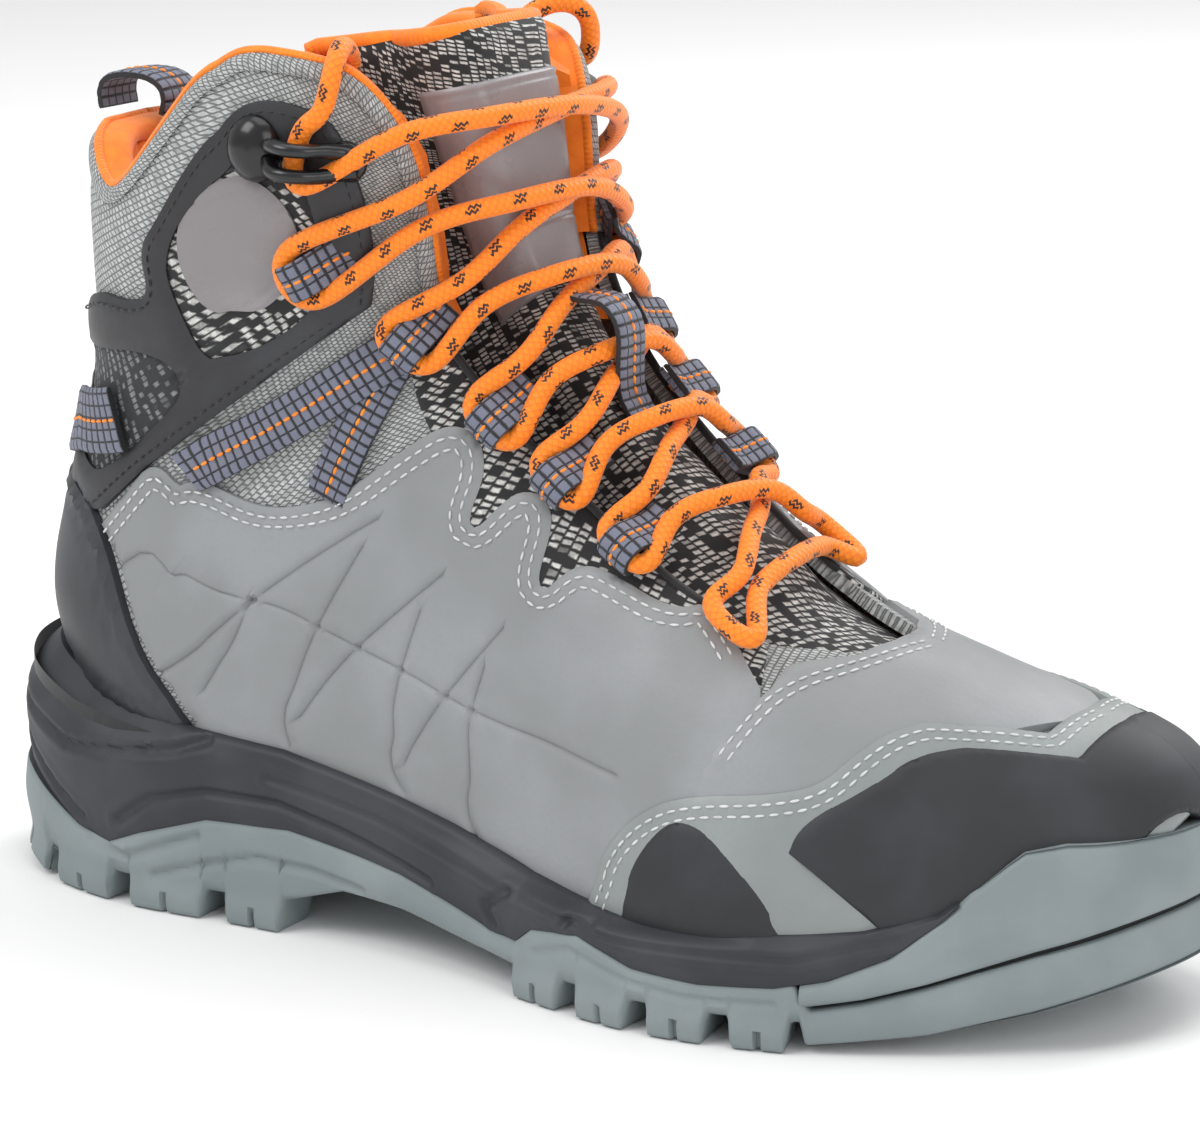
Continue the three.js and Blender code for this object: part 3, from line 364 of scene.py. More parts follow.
def panel(outline, height, base, holes=(), lines=(), gap=1.8, seam=None):
    """A panel lying on the last. height(st, place, edge distance) gives its face's offset from the
    last, and base the offset of the foot of its walls. seam(st) marks edge points without a wall."""
    st, faces = fill(outline, holes, lines, gap)
    place = last(st)
    borders = [outline, *holes]
    edge = np.full(len(st), 1e9)
    for border in borders:
        loop = border
        if seam is not None:
            loop = border.copy()
            away = seam(border)
            closed_loop = np.vstack([last(border), last(border[:1])])
            flags = np.append(away, away[0])
            start = 0
            pieces = []
            for k in range(len(flags) - 1):
                if flags[k] and flags[k + 1]:
                    if k > start:
                        pieces.append(closed_loop[start:k + 1])
                    start = k + 1
            if len(flags) - 1 > start:
                pieces.append(closed_loop[start:])
            for piece in pieces:
                if len(piece) > 1:
                    edge = np.minimum(edge, distance_to(place, piece))
        else:
            edge = np.minimum(edge, distance_to(place, last(loop), True))
    top = skin(st, height(st, place, edge))
    rim = open_edges(faces)
    if seam is not None:
        away = seam(st)
        rim = [(a, b) for a, b in rim if not (away[a] and away[b])]
    ids = sorted({i for e in rim for i in e})
    foot = {i: len(st) + k for k, i in enumerate(ids)}
    verts = np.vstack([top, skin(st[ids], np.full(len(ids), base))]) if ids else top
    all_faces = faces.tolist() + [[b, a, foot[a], foot[b]] for a, b in rim]
    uv = st * CHART
    uv = np.vstack([uv, uv[ids]]) if ids else uv
    return verts, all_faces, uv


def both_sides(outline, height, base, medial=None, **kw):
    """The same panel on the lateral and the medial side, as two (verts, faces, uv)."""
    flip = {k: [mirror(x) for x in v] if k in ("holes", "lines") else v for k, v in kw.items()}
    other = mirror(outline) if medial is None else medial
    return panel(outline, height, base, **kw), panel(other[::-1], height, base, **flip)


def weld(obj, distance=0.02):
    bm = bmesh.new()
    bm.from_mesh(obj.data)
    bmesh.ops.remove_doubles(bm, verts=bm.verts, dist=distance * MM)
    bm.to_mesh(obj.data)
    bm.free()


def tube(points, radius, sides=10, closed=False, flat=1.0, up=None, ends=True):
    """(verts, faces, uv) of a round or flattened tube along points; radius may vary."""
    p = np.asarray(points, float)
    n = len(p)
    along = np.roll(p, -1, 0) - np.roll(p, 1, 0) if closed else np.gradient(p, axis=0)
    along = unit(along)
    radius = np.broadcast_to(np.asarray(radius, float), n)
    frames = []
    side = np.cross(along[0], [0.1, 0.2, 1.0]) if up is None else np.cross(along[0], up[0])
    side = unit(side)
    for k in range(n):
        if up is not None:
            side = np.cross(along[k], up[k])
        side = unit(side - along[k] * np.dot(side, along[k]))
        frames.append((side, np.cross(side, along[k])))
    run = np.concatenate([[0], np.cumsum(np.linalg.norm(np.diff(p, axis=0), axis=1))])
    angle = np.linspace(0, 2 * np.pi, sides + 1)
    verts, uvs = [], []
    for k, (a, b) in enumerate(frames):
        ring = p[k] + radius[k] * (np.cos(angle)[:, None] * a + flat * np.sin(angle)[:, None] * b)
        verts.append(ring)
        uvs.append(np.stack([angle / (2 * np.pi), np.full(sides + 1, run[k])], 1))
    faces = []
    rings = n if closed else n - 1
    for k in range(rings):
        a, b = k * (sides + 1), ((k + 1) % n) * (sides + 1)
        faces += [[a + j, a + j + 1, b + j + 1, b + j] for j in range(sides)]
    if ends and not closed:
        faces.append(list(range(sides))[::-1])
        faces.append([(n - 1) * (sides + 1) + j for j in range(sides)])
    return np.vstack(verts), faces, np.vstack(uvs)


def curve_through(points, per=8):
    """A smooth line through points."""
    p = np.asarray(points, float)
    ext = np.vstack([2 * p[0] - p[1], p, 2 * p[-1] - p[-2]])
    out = []
    for i in range(len(p) - 1):
        p0, p1, p2, p3 = ext[i:i + 4]
        for f in np.arange(per) / per:
            out.append((2 * p1 + (p2 - p0) * f + (2 * p0 - 5 * p1 + 4 * p2 - p3) * f ** 2
                        + (3 * p1 - p0 - 3 * p2 + p3) * f ** 3) / 2)
    out.append(p[-1])
    return np.array(out)


# ---------------------------------------------------------------- materials
def linear(hex_colour):
    rgb = [int(hex_colour[k:k + 2], 16) / 255 for k in (1, 3, 5)]
    return tuple(c / 12.92 if c < 0.04045 else ((c + 0.055) / 1.055) ** 2.4 for c in rgb) + (1.0,)


class Shader:
    """A Principled material with short calls for its nodes."""

    def __init__(self, name, colour, rough=0.6, metal=0.0, specular=0.5):
        self.mat = bpy.data.materials.new(name)
        self.mat.use_nodes = True
        self.tree = self.mat.node_tree
        self.bsdf = self.tree.nodes["Principled BSDF"]
        self.bsdf.inputs["Base Color"].default_value = linear(colour)
        self.bsdf.inputs["Roughness"].default_value = rough
        self.bsdf.inputs["Metallic"].default_value = metal
        self.bsdf.inputs["Specular IOR Level"].default_value = specular
        coord = self.tree.nodes.new("ShaderNodeTexCoord")
        self.place = coord.outputs["Object"]
        split = self.tree.nodes.new("ShaderNodeSeparateXYZ")
        self.tree.links.new(coord.outputs["UV"], split.inputs[0])
        self.u, self.v = split.outputs[0], split.outputs[1]
        self.height = None

    def put(self, socket, value):
        if isinstance(value, bpy.types.NodeSocket):
            self.tree.links.new(value, socket)
        else:
            socket.default_value = value

    def math(self, op, a, b=0.0, c=None):
        node = self.tree.nodes.new("ShaderNodeMath")
        node.operation = op
        self.put(node.inputs[0], a)
        self.put(node.inputs[1], b)
        if c is not None:
            self.put(node.inputs[2], c)
        return node.outputs[0]

    def step(self, x, lo, hi):
        """0 below lo, 1 above hi, smooth between; the ends may be given high to low."""
        node = self.tree.nodes.new("ShaderNodeMapRange")
        node.interpolation_type = "SMOOTHSTEP"
        flip = lo > hi
        self.put(node.inputs["Value"], x)
        node.inputs["From Min"].default_value = min(lo, hi)
        node.inputs["From Max"].default_value = max(lo, hi)
        node.inputs["To Min"].default_value = 1.0 if flip else 0.0
        node.inputs["To Max"].default_value = 0.0 if flip else 1.0
        return node.outputs[0]

    def noise(self, scale, detail=2.0, rough=0.5):
        node = self.tree.nodes.new("ShaderNodeTexNoise")
        self.put(node.inputs["Vector"], self.place)
        node.inputs["Scale"].default_value = scale
        node.inputs["Detail"].default_value = detail
        node.inputs["Roughness"].default_value = rough
        return node.outputs["Fac"]

    def random(self, a, b):
        """One random number for each pair of whole numbers."""
        node = self.tree.nodes.new("ShaderNodeTexWhiteNoise")
        node.noise_dimensions = "2D"
        pair = self.tree.nodes.new("ShaderNodeCombineXYZ")
        self.put(pair.inputs[0], a)
        self.put(pair.inputs[1], b)
        self.tree.links.new(pair.outputs[0], node.inputs["Vector"])
        return node.outputs["Value"]

    def cells(self, scale, feature="F1"):
        node = self.tree.nodes.new("ShaderNodeTexVoronoi")
        node.feature = feature
        self.put(node.inputs["Vector"], self.place)
        node.inputs["Scale"].default_value = scale
        return node.outputs["Distance"]

    def blend(self, factor, a, b):
        node = self.tree.nodes.new("ShaderNodeMix")
        node.data_type = "RGBA"
        self.put(node.inputs["Factor"], factor)
        for socket, value in ((node.inputs[6], a), (node.inputs[7], b)):
            self.put(socket, linear(value) if isinstance(value, str) else value)
        return node.outputs[2]

    def colour(self, value):
        self.put(self.bsdf.inputs["Base Color"], value)

    def roughness(self, factor, lo, hi):
        self.put(self.bsdf.inputs["Roughness"], self.math("MULTIPLY_ADD", factor, hi - lo, lo))

    def bump(self, height, distance_mm, strength=1.0):
        node = self.tree.nodes.new("ShaderNodeBump")
        node.inputs["Strength"].default_value = strength
        node.inputs["Distance"].default_value = distance_mm * MM
        self.put(node.inputs["Height"], height)
        if self.height is not None:
            self.tree.links.new(self.height, node.inputs["Normal"])
        self.height = node.outputs[0]
        self.put(self.bsdf.inputs["Normal"], self.height)


def leather(name, colour, light, dark, grain=0.10, rough=(0.38, 0.56)):
    s = Shader(name, colour)
    broad = s.noise(28, 3)
    tone = s.blend(s.step(broad, 0.35, 0.68), dark, light)
    fine = s.noise(900, 2)
    s.colour(s.blend(s.math("MULTIPLY", s.step(fine, 0.45, 0.7), 0.16), tone, dark))
    s.roughness(s.noise(140, 2), *rough)
    pores = s.cells(750)
    s.bump(pores, grain, 0.35)
    s.bump(s.noise(60, 3), 0.5, 0.25)
    return s.mat


def rubber(name, colour, light, rough=(0.5, 0.7), grain=0.05):
    s = Shader(name, colour, specular=0.4)
    tone = s.blend(s.step(s.noise(45, 3), 0.35, 0.7), colour, light)
    dust = s.step(s.noise(420, 3, 0.65), 0.66, 0.74)
    s.colour(s.blend(s.math("MULTIPLY", dust, 0.18), tone, light))
    s.roughness(s.noise(90, 2), *rough)
    s.bump(s.noise(1400, 2), grain, 0.5)
    return s.mat


def knit(name, light, dark, pitch, cover=0.62, slant=0.35, speckle=0.5, depth=0.4, rough=0.75, missing=0.0):
    """Short slanting yarn floats in offset rows: u and v of the mesh are millimetres."""
    s = Shader(name, light, rough)
    u, v = s.math("DIVIDE", s.u, pitch), s.math("DIVIDE", s.v, pitch * 0.62)
    row = s.math("FLOOR", u)
    shift = s.math("MULTIPLY", s.math("MODULO", s.math("ABSOLUTE", row), 2.0), 0.5)
    inner = s.math("SUBTRACT", s.math("FRACT", u), 0.5)
    wobble = s.math("MULTIPLY", s.math("SUBTRACT", s.noise(260, 2), 0.5), 0.9)
    along = s.math("ADD", s.math("ADD", v, shift), s.math("ADD", s.math("MULTIPLY", inner, slant), wobble))
    wave = s.math("ABSOLUTE", s.math("SUBTRACT", s.math("FRACT", along), 0.5))
    yarn = s.step(wave, 0.5 * cover + 0.10, 0.5 * cover - 0.10)
    width = s.step(s.math("ABSOLUTE", inner), 0.49, 0.33)
    lot = s.random(row, s.math("FLOOR", along))
    float_ = s.math("MULTIPLY", s.math("MULTIPLY", yarn, width), s.step(lot, missing - 0.05, missing + 0.05))
    mottle = s.step(s.noise(520, 3, 0.7), 0.5 - speckle * 0.35, 0.5 + speckle * 0.3)
    shown = s.math("MULTIPLY", float_, s.math("MULTIPLY_ADD", mottle, speckle, 1 - speckle))
    s.colour(s.blend(shown, dark, light))
    s.bump(float_, depth, 0.9)
    s.bump(s.noise(1800, 2), 0.12, 0.5)
    s.bsdf.inputs["Sheen Weight"].default_value = 0.15
    return s.mat


def webbing(name, slate, black, rib=2.6, columns=4.0, width=11.0):
    """Woven strap: u runs across it and v along it, in millimetres."""
    s = Shader(name, slate, 0.6)
    along = s.math("FRACT", s.math("DIVIDE", s.v, rib))
    across = s.math("FRACT", s.math("MULTIPLY", s.u, columns / width))
    wobble = s.math("MULTIPLY", s.math("SUBTRACT", s.noise(700, 2), 0.5), 0.12)
    rise = s.step(s.math("ABSOLUTE", s.math("SUBTRACT", s.math("ADD", along, wobble), 0.5)), 0.46, 0.30)
    fall = s.step(s.math("ABSOLUTE", s.math("SUBTRACT", across, 0.5)), 0.50, 0.38)
    block = s.math("MULTIPLY", rise, fall)
    fibre = s.math("SINE", s.math("MULTIPLY", s.u, 16.0))
    tone = s.blend(s.math("MULTIPLY_ADD", fibre, 0.25, 0.5), slate, "#7b7f90")
    s.colour(s.blend(block, black, tone))
    s.bump(block, 0.5, 0.9)
    s.bump(fibre, 0.05, 0.6)
    s.bsdf.inputs["Sheen Weight"].default_value = 0.1
    return s.mat


def braid(name, orange, groove_shade_orange, fleck):
    """Round lace: u is the share of the way round, v millimetres along."""
    s = Shader(name, orange, 0.55)
    a = s.math("DIVIDE", s.v, 1.7)
    turn = s.math("MULTIPLY", s.u, 6.0)
    left = s.math("ABSOLUTE", s.math("SINE", s.math("MULTIPLY", s.math("ADD", a, turn), math.pi)))
    right = s.math("ABSOLUTE", s.math("SINE", s.math("MULTIPLY", s.math("SUBTRACT", a, turn), math.pi)))
    plait = s.math("MULTIPLY", left, right)
    # painted shade: the darker orange fills the grooves between the plait's strands, where the bump is low
    tone = s.blend(s.step(plait, 0.0, 0.5), groove_shade_orange, orange)
    period = s.math("FRACT", s.math("DIVIDE", s.v, 10.5))
    tooth = s.math("FRACT", s.math("DIVIDE", s.v, 1.25))
    zig = s.math("MULTIPLY", s.math("ABSOLUTE", s.math("SUBTRACT", tooth, 0.5)), 0.10)
    marks = None
    for centre, start in ((0.17, 0.05), (0.25, 0.12), (0.50, 0.55), (0.58, 0.62), (0.83, 0.05), (0.91, 0.12)):
        near = s.math("ABSOLUTE", s.math("SUBTRACT", s.math("ADD", s.u, zig), centre + 0.025))
        stripe = s.step(near, 0.032, 0.022)
        window = s.step(s.math("ABSOLUTE", s.math("SUBTRACT", period, start + 0.14)), 0.15, 0.13)
        one = s.math("MULTIPLY", stripe, window)
        marks = one if marks is None else s.math("MAXIMUM", marks, one)
    s.colour(s.blend(marks, tone, fleck))
    s.bump(plait, 0.16, 0.8)
    s.bsdf.inputs["Sheen Weight"].default_value = 0.2
    return s.mat


def cloth(name, colour, dark, rib=0.0, rough=0.7, depth=0.12):
    s = Shader(name, colour, rough)
    tone = s.blend(s.step(s.noise(300, 3), 0.3, 0.7), dark, colour)
    s.colour(tone)
    s.bump(s.noise(1500, 2), depth, 0.7)
    if rib:
        s.bump(s.math("SINE", s.math("MULTIPLY", s.v, 2 * math.pi / rib)), 0.12, 0.6)
    s.bsdf.inputs["Sheen Weight"].default_value = 0.25
    return s.mat


def plastic(name, colour, light, rough=(0.18, 0.3)):
    s = Shader(name, colour, specular=0.55)
    s.colour(s.blend(s.step(s.noise(80, 2), 0.4, 0.7), colour, light))
    s.roughness(s.noise(120, 2), *rough)
    s.bump(s.noise(900, 2), 0.02, 0.5)
    return s.mat


LEATHER = leather("leather_grey", "#8b8e90", "#919496", "#858889")
CAP = leather("toe_cap_grey", "#888e8d", "#8e9493", "#828887")
OVERLAY_BLACK = leather("overlay_black", "#2b2b2e", "#313236", "#242427", grain=0.05, rough=(0.42, 0.55))
COUNTER_BLACK = rubber("counter_black", "#2e2f33", "#3a3c41", rough=(0.42, 0.55))
WINDOW_BLACK = rubber("window_black", "#2a2b2d", "#34363a", rough=(0.5, 0.62))
MIDSOLE_BLACK = rubber("midsole_black", "#2f3135", "#3a3d42", rough=(0.45, 0.6))
SOLE_GREY = rubber("outsole_grey", "#7c8688", "#868f91", rough=(0.5, 0.66))
BUMPER_GREY = rubber("bumper_grey", "#7c8688", "#868f91", rough=(0.45, 0.62))
MARL = knit("collar_marl", "#c3c6c5", "#6e7272", 1.5, cover=0.78, slant=0.9, speckle=0.55, depth=0.35)
WEAVE = knit("black_white_weave", "#d4d4d0", "#17181a", 2.6, cover=0.62, slant=0.75, speckle=0.5,
             depth=0.5, missing=0.34)
DARK_WEAVE = knit("dark_weave", "#85888a", "#232427", 2.1, cover=0.44, slant=0.6, speckle=0.7,
                  depth=0.4, missing=0.35)
STRAP = webbing("slate_webbing", "#666a7c", "#15161a")
# the second orange is painted shade for the grooves between the lace's strands
LACE = braid("orange_lace", "#ff8a00", "#f47800", "#35170a")
ORANGE = cloth("orange_lining", "#ff8600", "#f57a00")
ORANGE_TAPE = cloth("orange_tape", "#ff8a05", "#f47c00", rib=1.2)
BADGE_GREY = leather("badge_grey", "#8b8688", "#938e90", "#827d7f", grain=0.03, rough=(0.22, 0.36))
HOOK_BLACK = plastic("hook_black", "#141416", "#1d1e21")
STEEL = plastic("dome_black", "#101012", "#191a1d", rough=(0.15, 0.28))
THREAD_WHITE = cloth("thread_white", "#d8dada", "#bfc2c2", depth=0.05)
THREAD_BLACK = cloth("thread_black", "#0c0c0d", "#161618", depth=0.05)
THREAD_ORANGE = cloth("thread_orange", "#ff9420", "#f58410", depth=0.05)
PIPING_BLACK = cloth("piping_black", "#141517", "#1c1d20", depth=0.06)

# ---------------------------------------------------------------- lines of the side elevation
RIDGE = -1e-6                # t of the last's front ridge, a hair to the lateral side
FEATHER = np.array([
    [-170, 60], [-150, 57], [-135, 53], [-120, 49], [-87, 44.5], [-57, 43], [-25, 37], [-8, 33],
    [13, 27], [41, 23.5], [74, 24.5], [98, 27], [112, 31], [120, 37], [128, 45], [136, 47], [170, 46],
], float)
COLLAR = [[-122, 180], [-118, 178], [-112, 172], [-104, 168], [-95, 173], [-82, 186], [-70, 199],
          [-60, 204], [-47, 203], [-36, 201], [-28, 193], [-24, 184], [-22.5, 170], [-22, 153]]
COLLAR_TOP = 180.0
COLLAR_MEDIAL = [*COLLAR[:9], [-36, 202.5], [-27, 201], [-21, 198.5]]
THROAT = [[-15, 138], [-3, 124], [12, 112], [28, 101], [44, 92], [60, 84]]
CAP_EDGE = [[28, 20], [34, 29], [40, 42], [50, 50], [61, 53], [74, 54], [84, 56], [89, 62], [94, 66],
            [99, 67]]
QUARTER_TOP = [
    [-111, 90], [-103, 98], [-92, 108], [-81, 104], [-67, 101], [-56, 101], [-42, 105], [-28, 116],
    [-18, 123], [-12, 123], [-8, 119], [-7, 112], [-10, 103], [-8, 100], [-2, 107], [2, 110], [8, 109],
    [11, 103], [9, 91], [12, 89], [14, 92], [20, 96], [28, 94], [44, 88], [49, 90], [56, 84], [60, 80],
]
COUNTER_EDGE = [[-84, 38], [-85, 45], [-93, 57], [-107, 82], [-113, 93], [-120, 97]]
WINDOW_SIDE = [[41, 20], [43, 30], [48, 41], [54, 47], [60, 47], [66, 43], [76, 33], [86, 20]]
OVERLAY_TOP = [
    [-34, 150], [-32, 160], [-33, 178], [-37, 192], [-49, 196], [-61, 195], [-73, 182], [-85, 166],
    [-91, 159], [-89, 148], [-96, 146], [-107, 147], [-116, 143], [-122, 140],
]
OVERLAY_LOW = [[-112, 93], [-92, 109], [-60, 131]]
OVERLAY_WINDOW = [
    [-57, 188], [-69, 176], [-82, 162], [-84, 151], [-76, 134], [-66, 136], [-53, 143], [-44, 152],
    [-43, 168], [-47, 184],
]
REAR_WINDOW = [
    [-122, 133], [-100, 135], [-86, 134], [-82, 127], [-87, 120], [-110, 102], [-118, 105], [-123, 112],
]
BADGE = [[-79, 168], [-64, 180], [-50, 174], [-47, 160], [-58, 147], [-72, 145], [-80, 155]]
GROOVES = [
    [[-105, 81], [-92, 89], [-66, 79], [-49, 75], [-25, 67], [-5, 60], [20, 57], [38, 54]],
    [[-36, 94], [-48, 74], [-56, 57], [-56, 45]],
    [[-20, 82], [-27, 60], [-27, 53], [-24, 39]],
    [[-2, 71], [-6, 57], [-5, 49], [-2, 31]],
    [[-93, 57], [-70, 75], [-32, 101]],
    [[-53, 52], [-39, 69], [-15, 90]],
    [[-24, 45], [-14, 61], [2, 80]],
    [[-80, 55], [-72, 66], [-66, 79]],
]


def feather_z(x):
    return np.interp(x, FEATHER[:, 0], FEATHER[:, 1])


def feather_line(x_from, x_to, count, drop=2.0):
    """(s, t) along the feather line of the lateral side, a little under it."""
    x = np.linspace(x_from, x_to, count)
    return find(np.stack([x, feather_z(x) - drop], 1), -1)


def back_line(z_from, z_to, count):
    """(s, -1) points up the middle of the heel's back."""
    s = np.linspace(9.5, LAST_TOP, 400)
    z = last(np.stack([s, np.full(len(s), -1.0)], 1))[:, 2]
    want = np.linspace(z_from, z_to, count)
    return np.stack([np.interp(want, z, s), np.full(count, -1.0)], 1)


def at_back(st):
    return np.abs(st[:, 1]) > 0.9995


def seamed(name, parts, material, **kw):
    """One object from a lateral and a medial part that meet at the back or on the ridge."""
    verts, faces, uv = joined(parts)
    obj = mesh_piece(name, verts, faces, material, uv=uv, **kw)
    weld(obj)
    obj.data.set_sharp_from_angle(angle=math.radians(50))
    return obj


def lip(edge, full, round_off=0.9):
    """Height of a sheet whose free edge is rounded off."""
    f = np.clip(edge / round_off, 0, 1)
    return full - round_off * 0.75 * (1 - np.sqrt(1 - (1 - f) ** 2))


# ---------------------------------------------------------------- the knitted bootie
def collar_edge(side, rounds=1):
    """The collar's edge from the back of the heel to the top of the throat."""
    back = back_line(COLLAR_TOP, COLLAR_TOP, 1)
    if side < 0:
        return np.vstack([back, cut_corners(find(COLLAR, -1), rounds=rounds)])
    front = mirror(find(COLLAR[11:], -1))
    line = np.vstack([find(COLLAR_MEDIAL, 1), front])
    return np.vstack([back * [1, -1], cut_corners(line, rounds=rounds)])


def bootie_outline(side):
    other = mirror if side > 0 else np.asarray
    throat = find([*THROAT, [64, 82]], -1)
    ridge = np.array([[4.5, -0.1], [4.3, RIDGE], [3.5, RIDGE], [1.2, RIDGE]])
    low = feather_line(140, -128, 40)
    heel = back_line(56, COLLAR_TOP - 3, 26)
    return np.vstack([resample(np.vstack([collar_edge(side), other(np.vstack([throat, ridge]))]), 2.5),
                      resample(other(low), 2.5), other(heel)])


def bootie_height(st, place, edge):
    # the padded collar swells between its edge and the quarter
    pad = smoothstep(place[:, 2], 118, 150) * smoothstep(edge, 0, 9) * smoothstep(-place[:, 0], 18, 40)
    return 0.0 + 1.2 * pad * smoothstep(place[:, 2], 120, 165)


parts = both_sides(bootie_outline(-1), bootie_height, -3.0, medial=bootie_outline(1), gap=2.2,
                   seam=lambda st: at_back(st) | (np.abs(st[:, 1]) < 0.0025))
bootie = seamed("bootie_knit", parts, MARL, replaces=["upper_textile"], slot="knit")

# ---------------------------------------------------------------- leather and synthetic panels
def grooves_on(lines_xz, gap=1.2):
    return [resample(cut_corners(find(line, -1), rounds=2), gap) for line in lines_xz]


CAP_LINE = cut_corners(find(CAP_EDGE, -1), rounds=2)
CAP_RIDGE = np.array([[2.86, -0.16], [2.78, RIDGE]])
CAP_LINE = np.vstack([CAP_LINE, CAP_RIDGE])
LOW_CAP = feather_line(146, 30, 60)


def quarter_outline():
    top = cut_corners(find(QUARTER_TOP, -1), rounds=2)
    front = find([[66, 74], [72, 60], [60, 46], [44, 38], [34, 24]], -1)
    low = feather_line(30, -88, 40)
    rear = cut_corners(find([[-83, 46], [-90, 57], [-103, 80], [-109, 88]], -1), rounds=1)
    return np.vstack([resample(np.vstack([top, front, low, rear]), 1.6, closed=True)])


QUARTER_GROOVES = grooves_on(GROOVES)
GROOVE_BANKS = [beside(line, side * 1.0) for line in QUARTER_GROOVES for side in (-1, 1)]


def quarter_height(st, place, edge):
    h = lip(edge, 1.9)
    for line in QUARTER_GROOVES:
        run = last(line) if st[:, 1].mean() < 0 else last(mirror(line))
        near = distance_to(place, run)
        h = h - 0.85 * (1 - smoothstep(near, 0.1, 1.0)) + 0.15 * np.exp(-((near - 2.0) / 1.2) ** 2)
    soft = np.sin(place[:, 0] / 13.0 + place[:, 2] / 17.0) * np.sin(place[:, 2] / 11.0 - place[:, 0] / 29.0)
    return h + 0.22 * soft * smoothstep(edge, 3, 12)


quarter_loop = quarter_outline()
for name, part in zip(("lateral", "medial"), both_sides(
        quarter_loop, quarter_height, -0.4, gap=1.6, lines=QUARTER_GROOVES + GROOVE_BANKS)):
    mesh_piece(f"quarter_panel_{name}", part[0], part[1], LEATHER, uv=part[2],
               replaces=[f"quarter_{name}"], slot="leather", sharp=55)


def vamp_outline():
    edge = cut_corners(find([[56, 50], [59, 60], [64, 68], [68, 74]], -1), rounds=1)
    throat = np.vstack([find([[69, 78]], -1), [[4.62, -0.14], [4.50, -0.05], [4.48, RIDGE]]])
    ridge = np.array([[3.6, RIDGE], [2.55, RIDGE]])
    under_cap = find([[108, 62], [98, 60], [88, 55], [74, 47]], -1)
    return np.vstack([resample(np.vstack([edge, throat, ridge]), 1.6), resample(under_cap, 1.6)])


def on_ridge(st):
    return np.abs(st[:, 1]) < 0.0025


def vamp_height(st, place, edge):
    return lip(edge, 2.1) + 0.12 * np.sin(place[:, 0] / 7.0)


vamp_parts = both_sides(vamp_outline(), vamp_height, -0.4, gap=1.7, seam=on_ridge)
seamed("vamp_panel", vamp_parts, LEATHER, replaces=["vamp"], slot="leather")


def on_ridge_from(start, end, gap):
    """A line down the ridge, without its first point."""
    return resample(np.array([[start, RIDGE], [end, RIDGE]]), gap)[1:]


def cap_outline():
    return np.vstack([resample(CAP_LINE, 1.5), on_ridge_from(2.78, 0.86, 3), resample(LOW_CAP, 1.8)])


def window_front_line():
    xz = [[80, 43], [82, 49], [94, 56], [100, 61.5], [108, 62.5]]
    upper = np.vstack([cut_corners(find(xz, -1), rounds=2), [[2.46, -0.22], [2.40, -0.10], [2.38, RIDGE]]])
    low = find([[140, 39], [134, 38], [127, 35], [119, 30], [110, 27], [100, 26]], -1)
    return upper, np.vstack([[[0.55, RIDGE]], low])


WINDOW_UPPER, WINDOW_LOWER = window_front_line()
window_loop = np.vstack([resample(WINDOW_UPPER, 1.5), on_ridge_from(2.38, 0.55, 2.5)[:-1],
                         resample(WINDOW_LOWER, 1.5)])
side_loop = resample(cut_corners(find(WINDOW_SIDE, -1), closed=True, rounds=2), 1.5, closed=True)


def cap_height(st, place, edge):
    return lip(edge, 3.0)


cap_parts = both_sides(cap_outline(), cap_height, -0.4, gap=1.8, seam=on_ridge)
seamed("toe_cap_shell", cap_parts, CAP, replaces=["toe_cap"], slot="toe_cap")


def window_height(st, place, edge):
    return lip(edge, 3.75, 1.1) + 0.35 * smoothstep(edge, 2, 10)


front_parts = both_sides(window_loop, window_height, 1.0, gap=1.7, seam=on_ridge)
seamed("toe_window_front_rubber", front_parts, WINDOW_BLACK,
       replaces=["toe_window_front"], slot="bumper_rubber")
for name, part in zip(("lateral", "medial"), both_sides(side_loop, window_height, 1.0, gap=1.7)):
    mesh_piece(f"toe_window_{name}_rubber", part[0], part[1], WINDOW_BLACK, uv=part[2],
               replaces=[f"toe_window_{name}"], slot="bumper_rubber", sharp=55)


def counter_outline():
    edge = cut_corners(find([*COUNTER_EDGE, [-128, 100]], -1), rounds=2)
    back = back_line(101, 56, 22)
    low = feather_line(-134, -84, 26)
    return np.vstack([resample(edge, 1.6), back, resample(low, 1.8)])


def counter_height(st, place, edge):
    ridge = np.exp(-((edge - 3.2) / 1.5) ** 2) * smoothstep(place[:, 2], 50, 62)
    furrow = np.exp(-((edge - 5.2) / 1.1) ** 2)
    return lip(edge, 3.0, 1.2) - 0.7 * furrow + 0.35 * ridge + 0.5 * smoothstep(edge, 7, 22)


seamed("heel_counter_shell", both_sides(counter_outline(), counter_height, -0.4, gap=1.7, seam=at_back),
       COUNTER_BLACK, replaces=["heel_counter"], slot="counter")


def overlay_outline():
    top = cut_corners(find(OVERLAY_TOP, -1), rounds=2)
    back = back_line(140, 96, 18)
    low = cut_corners(find([[-122, 97], [-113, 92], [-104, 99], *OVERLAY_LOW[1:], [-34, 150]], -1), rounds=1)
    return np.vstack([resample(top, 1.6), back, resample(low, 1.6)])


overlay_holes = [resample(cut_corners(find(w, -1), closed=True, rounds=2), 1.6, closed=True)
                 for w in (OVERLAY_WINDOW, REAR_WINDOW)]


def overlay_height(st, place, edge):
    return lip(edge, 2.2, 0.8) + 0.25 * smoothstep(edge, 1.5, 4.5) + 1.0 * smoothstep(place[:, 2], 125, 165)


overlay_parts = both_sides(overlay_outline(), overlay_height, -0.4, gap=1.8, seam=at_back,
                           holes=overlay_holes)
seamed("ankle_overlay_shell", overlay_parts, OVERLAY_BLACK,
       replaces=["ankle_overlay_lateral", "ankle_overlay_medial"], slot="overlay")


# the woven fabric that shows through the overlay's windows
def window_cloth_height(base):
    return lambda st, place, edge: np.full(len(st), base) + 1.0 * smoothstep(place[:, 2], 120, 165)


